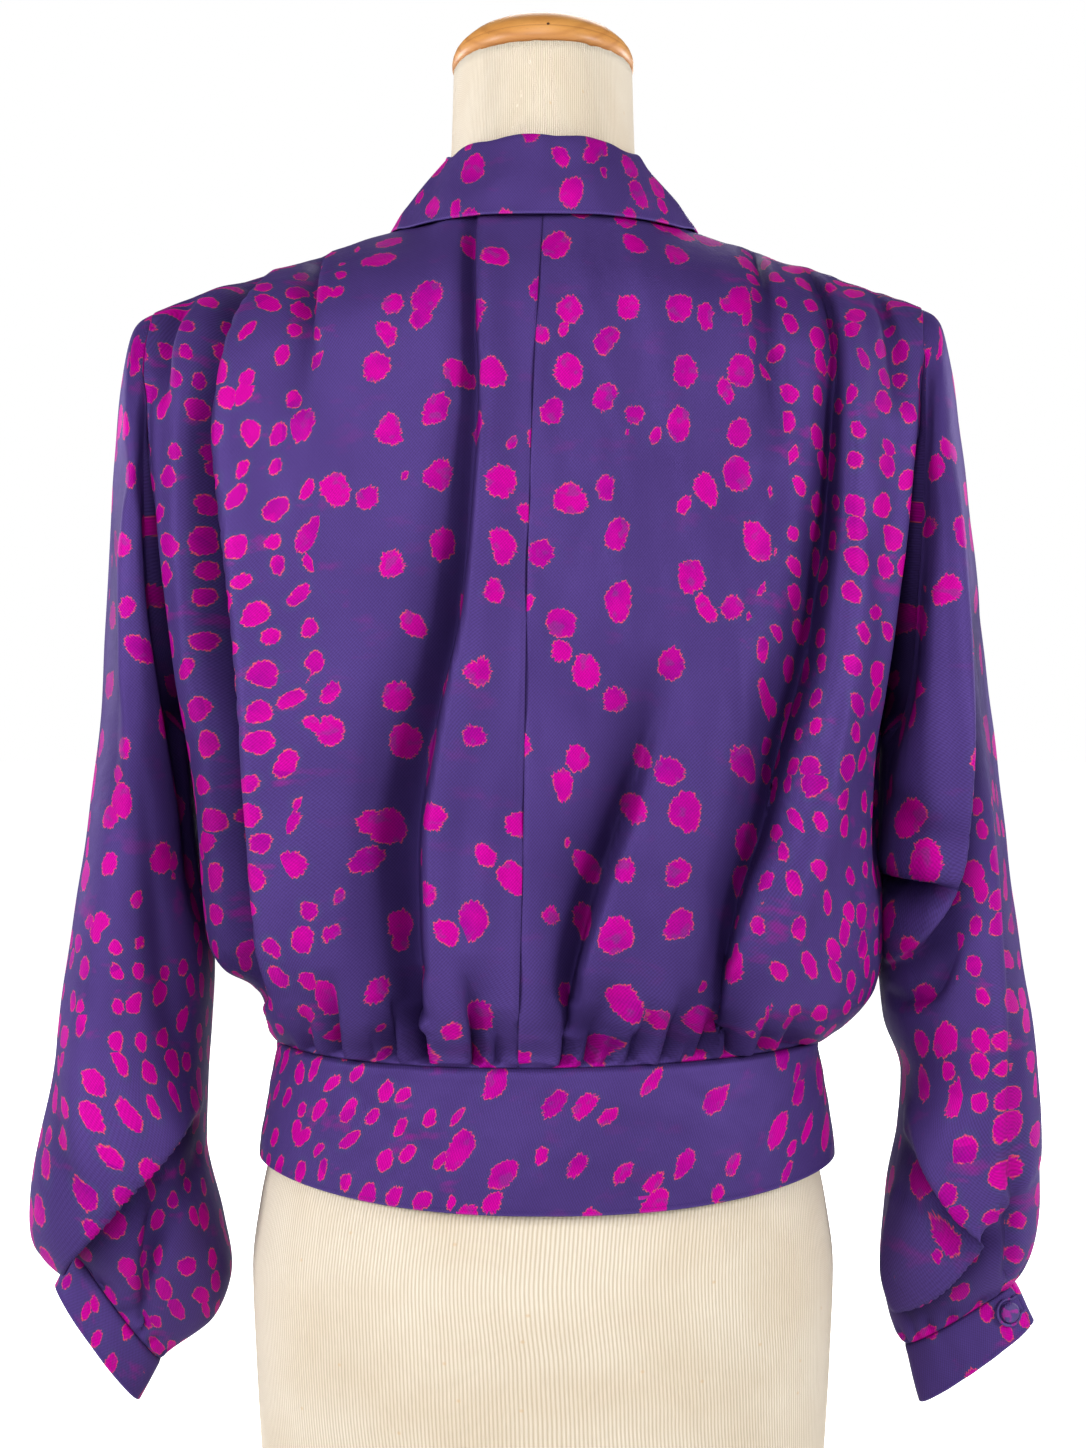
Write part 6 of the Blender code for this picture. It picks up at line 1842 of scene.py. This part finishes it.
def cuff_fastening(side, word, cover):
    """A covered button near the cuff's outer end, inside a loop of rolled cloth."""
    turn = math.radians(CUFF_BUTTON_TURN) * (1 if side < 0 else -1)
    top = np.array(sleeve_table(side)[-1][1:], float)
    end = np.array(LEFT_CUFF_END if side > 0 else RIGHT_CUFF_END, float)

    def at(share, angle):
        return ring(top + (end - top) * share, np.array(angle), side)

    place = at(CUFF_BUTTON_SHARE, turn)
    across = at(CUFF_BUTTON_SHARE, turn + 0.05) - at(CUFF_BUTTON_SHARE, turn - 0.05)
    down = at(CUFF_BUTTON_SHARE + 0.05, turn) - at(CUFF_BUTTON_SHARE - 0.05, turn)
    normal = np.cross(down, across) * side
    normal /= np.linalg.norm(normal)
    outward = at(CUFF_BUTTON_SHARE, 0.0) - at(CUFF_BUTTON_SHARE, math.pi)
    outward -= normal * (outward @ normal)
    outward /= np.linalg.norm(outward)
    sideways = np.cross(normal, outward)
    centre = place + normal * (LOOP_CORD + GAP)
    spread_angle = math.radians(LOOP_OPENING)
    path = [centre + outward * LOOP_LEG + sideways * LOOP_RADIUS * math.sin(spread_angle)]
    for a in np.linspace(spread_angle, 2 * math.pi - spread_angle, LOOP_POINTS):
        path.append(centre + (outward * math.cos(a) + sideways * math.sin(a)) * LOOP_RADIUS)
    path.append(centre + outward * LOOP_LEG - sideways * LOOP_RADIUS * math.sin(spread_angle))
    covered_button(f"button_cuff_{word}", place, normal, cover)

    curve = bpy.data.curves.new(f"loop_cuff_{word}_rolled", "CURVE")
    curve.dimensions = "3D"
    curve.bevel_depth = LOOP_CORD
    curve.bevel_resolution = 4
    curve.use_fill_caps = True
    line = curve.splines.new("POLY")
    line.points.add(len(path) - 1)
    for point, p in zip(line.points, path):
        point.co = (*p, 1)
    loop = bpy.data.objects.new(f"loop_cuff_{word}_rolled", curve)
    bpy.context.scene.collection.objects.link(loop)
    active(loop)
    bpy.ops.object.convert(target="MESH")
    loop = bpy.context.object
    bpy.ops.object.shade_smooth_by_angle(angle=SMALL_SMOOTH)
    finish_piece(loop, f"loop_cuff_{word}", cover)


FLOOR_SIZE = 60
FLOOR_DROP = 0.4 * MM
SURROUND_LIGHT = 0.05  # how much of the white surround lights the blouse
BLOUSE_MIDDLE = (0, 0, 0.5)
# Softboxes: name, place, width, height, watts
SOFTBOXES = (
    ("back_key", (0.4, 2.5, 1.1), 0.9, 0.9, 27),
    ("back_top", (0.1, 1.7, 2.1), 0.7, 0.7, 12),
    ("back_right", (-1.9, 1.1, 1.0), 0.5, 0.7, 32),
    ("back_left", (1.9, 1.1, 1.0), 0.5, 0.7, 36),
    ("front_key", (-0.4, -2.5, 1.1), 0.9, 0.9, 30),
    ("front_top", (-0.1, -1.7, 2.1), 0.7, 0.7, 12),
    ("front_right", (-1.9, -1.1, 1.0), 0.5, 0.7, 26),
    ("front_left", (1.9, -1.1, 1.0), 0.5, 0.7, 26),
)
CAMERA_DISTANCE = 1.5
CAMERA_HEIGHT = 0.485
CAMERA_SENSOR = 36
VIEW_HEIGHT = 0.8688  # the height of the plane through the blouse's centre that the camera sees


def softbox(name, place, width, height, power):
    light = bpy.data.lights.new(name, "AREA")
    light.shape = "RECTANGLE"
    light.size, light.size_y = width, height
    light.energy = power
    obj = bpy.data.objects.new(name, light)
    obj.location = place
    obj.rotation_euler = (Vector(BLOUSE_MIDDLE) - Vector(place)).to_track_quat("-Z", "Y").to_euler()
    obj.visible_camera = False
    bpy.context.scene.collection.objects.link(obj)


def make_studio():
    """A plain pale floor, a white surround and soft lights on both sides."""
    bpy.ops.object.select_all(action="DESELECT")
    bpy.ops.mesh.primitive_plane_add(size=FLOOR_SIZE, location=(0, 0, -FLOOR_DROP))
    floor = bpy.context.object
    floor.name = "floor"
    paint = Paint("pale_floor")
    seen = paint.field(paint.node("ShaderNodeLightPath").outputs["Is Camera Ray"])
    grain = paint.noise(paint.node("ShaderNodeTexCoord").outputs["Object"], 40.0, 2.0)
    face = paint.blend(grain, (0.80, 0.80, 0.79, 1), (0.84, 0.84, 0.83, 1))
    paint.join(paint.shader.inputs["Emission Color"], paint.blend(seen, (0, 0, 0, 1), (1, 1, 1, 1)))
    paint.shader.inputs["Emission Strength"].default_value = 1.0
    floor.data.materials.append(paint.finish(face, 0.8, Specular_IOR_Level=0.1))

    world = bpy.data.worlds.new("studio")
    world.use_nodes = True
    bpy.context.scene.world = world
    tree = world.node_tree
    background = tree.nodes["Background"]
    background.inputs["Color"].default_value = (1.0, 1.0, 1.0, 1)
    path = tree.nodes.new("ShaderNodeLightPath")
    strength = tree.nodes.new("ShaderNodeMapRange")
    strength.inputs["To Min"].default_value = SURROUND_LIGHT
    strength.inputs["To Max"].default_value = 1.0
    tree.links.new(path.outputs["Is Camera Ray"], strength.inputs["Value"])
    tree.links.new(strength.outputs["Result"], background.inputs["Strength"])

    for row in SOFTBOXES:
        softbox(*row)


def make_camera():
    """Level, straight behind the blouse."""
    data = bpy.data.cameras.new("camera")
    data.sensor_width = CAMERA_SENSOR
    data.lens = CAMERA_SENSOR / (VIEW_HEIGHT / CAMERA_DISTANCE)
    obj = bpy.data.objects.new("camera", data)
    obj.location = (0, CAMERA_DISTANCE, CAMERA_HEIGHT)
    obj.rotation_euler = (math.pi / 2, 0, math.pi)
    bpy.context.scene.collection.objects.link(obj)
    bpy.context.scene.camera = obj


make_camera()
satin = printed_satin()
cover = plain_satin()
make_form(ribbed_jersey())
make_cap(varnished_wood(), dark_nail())
panels, band, pieces = make_blouse(satin)
make_fastenings(panels, band, cover)
make_studio()
bpy.context.scene.view_settings.view_transform = "Standard"
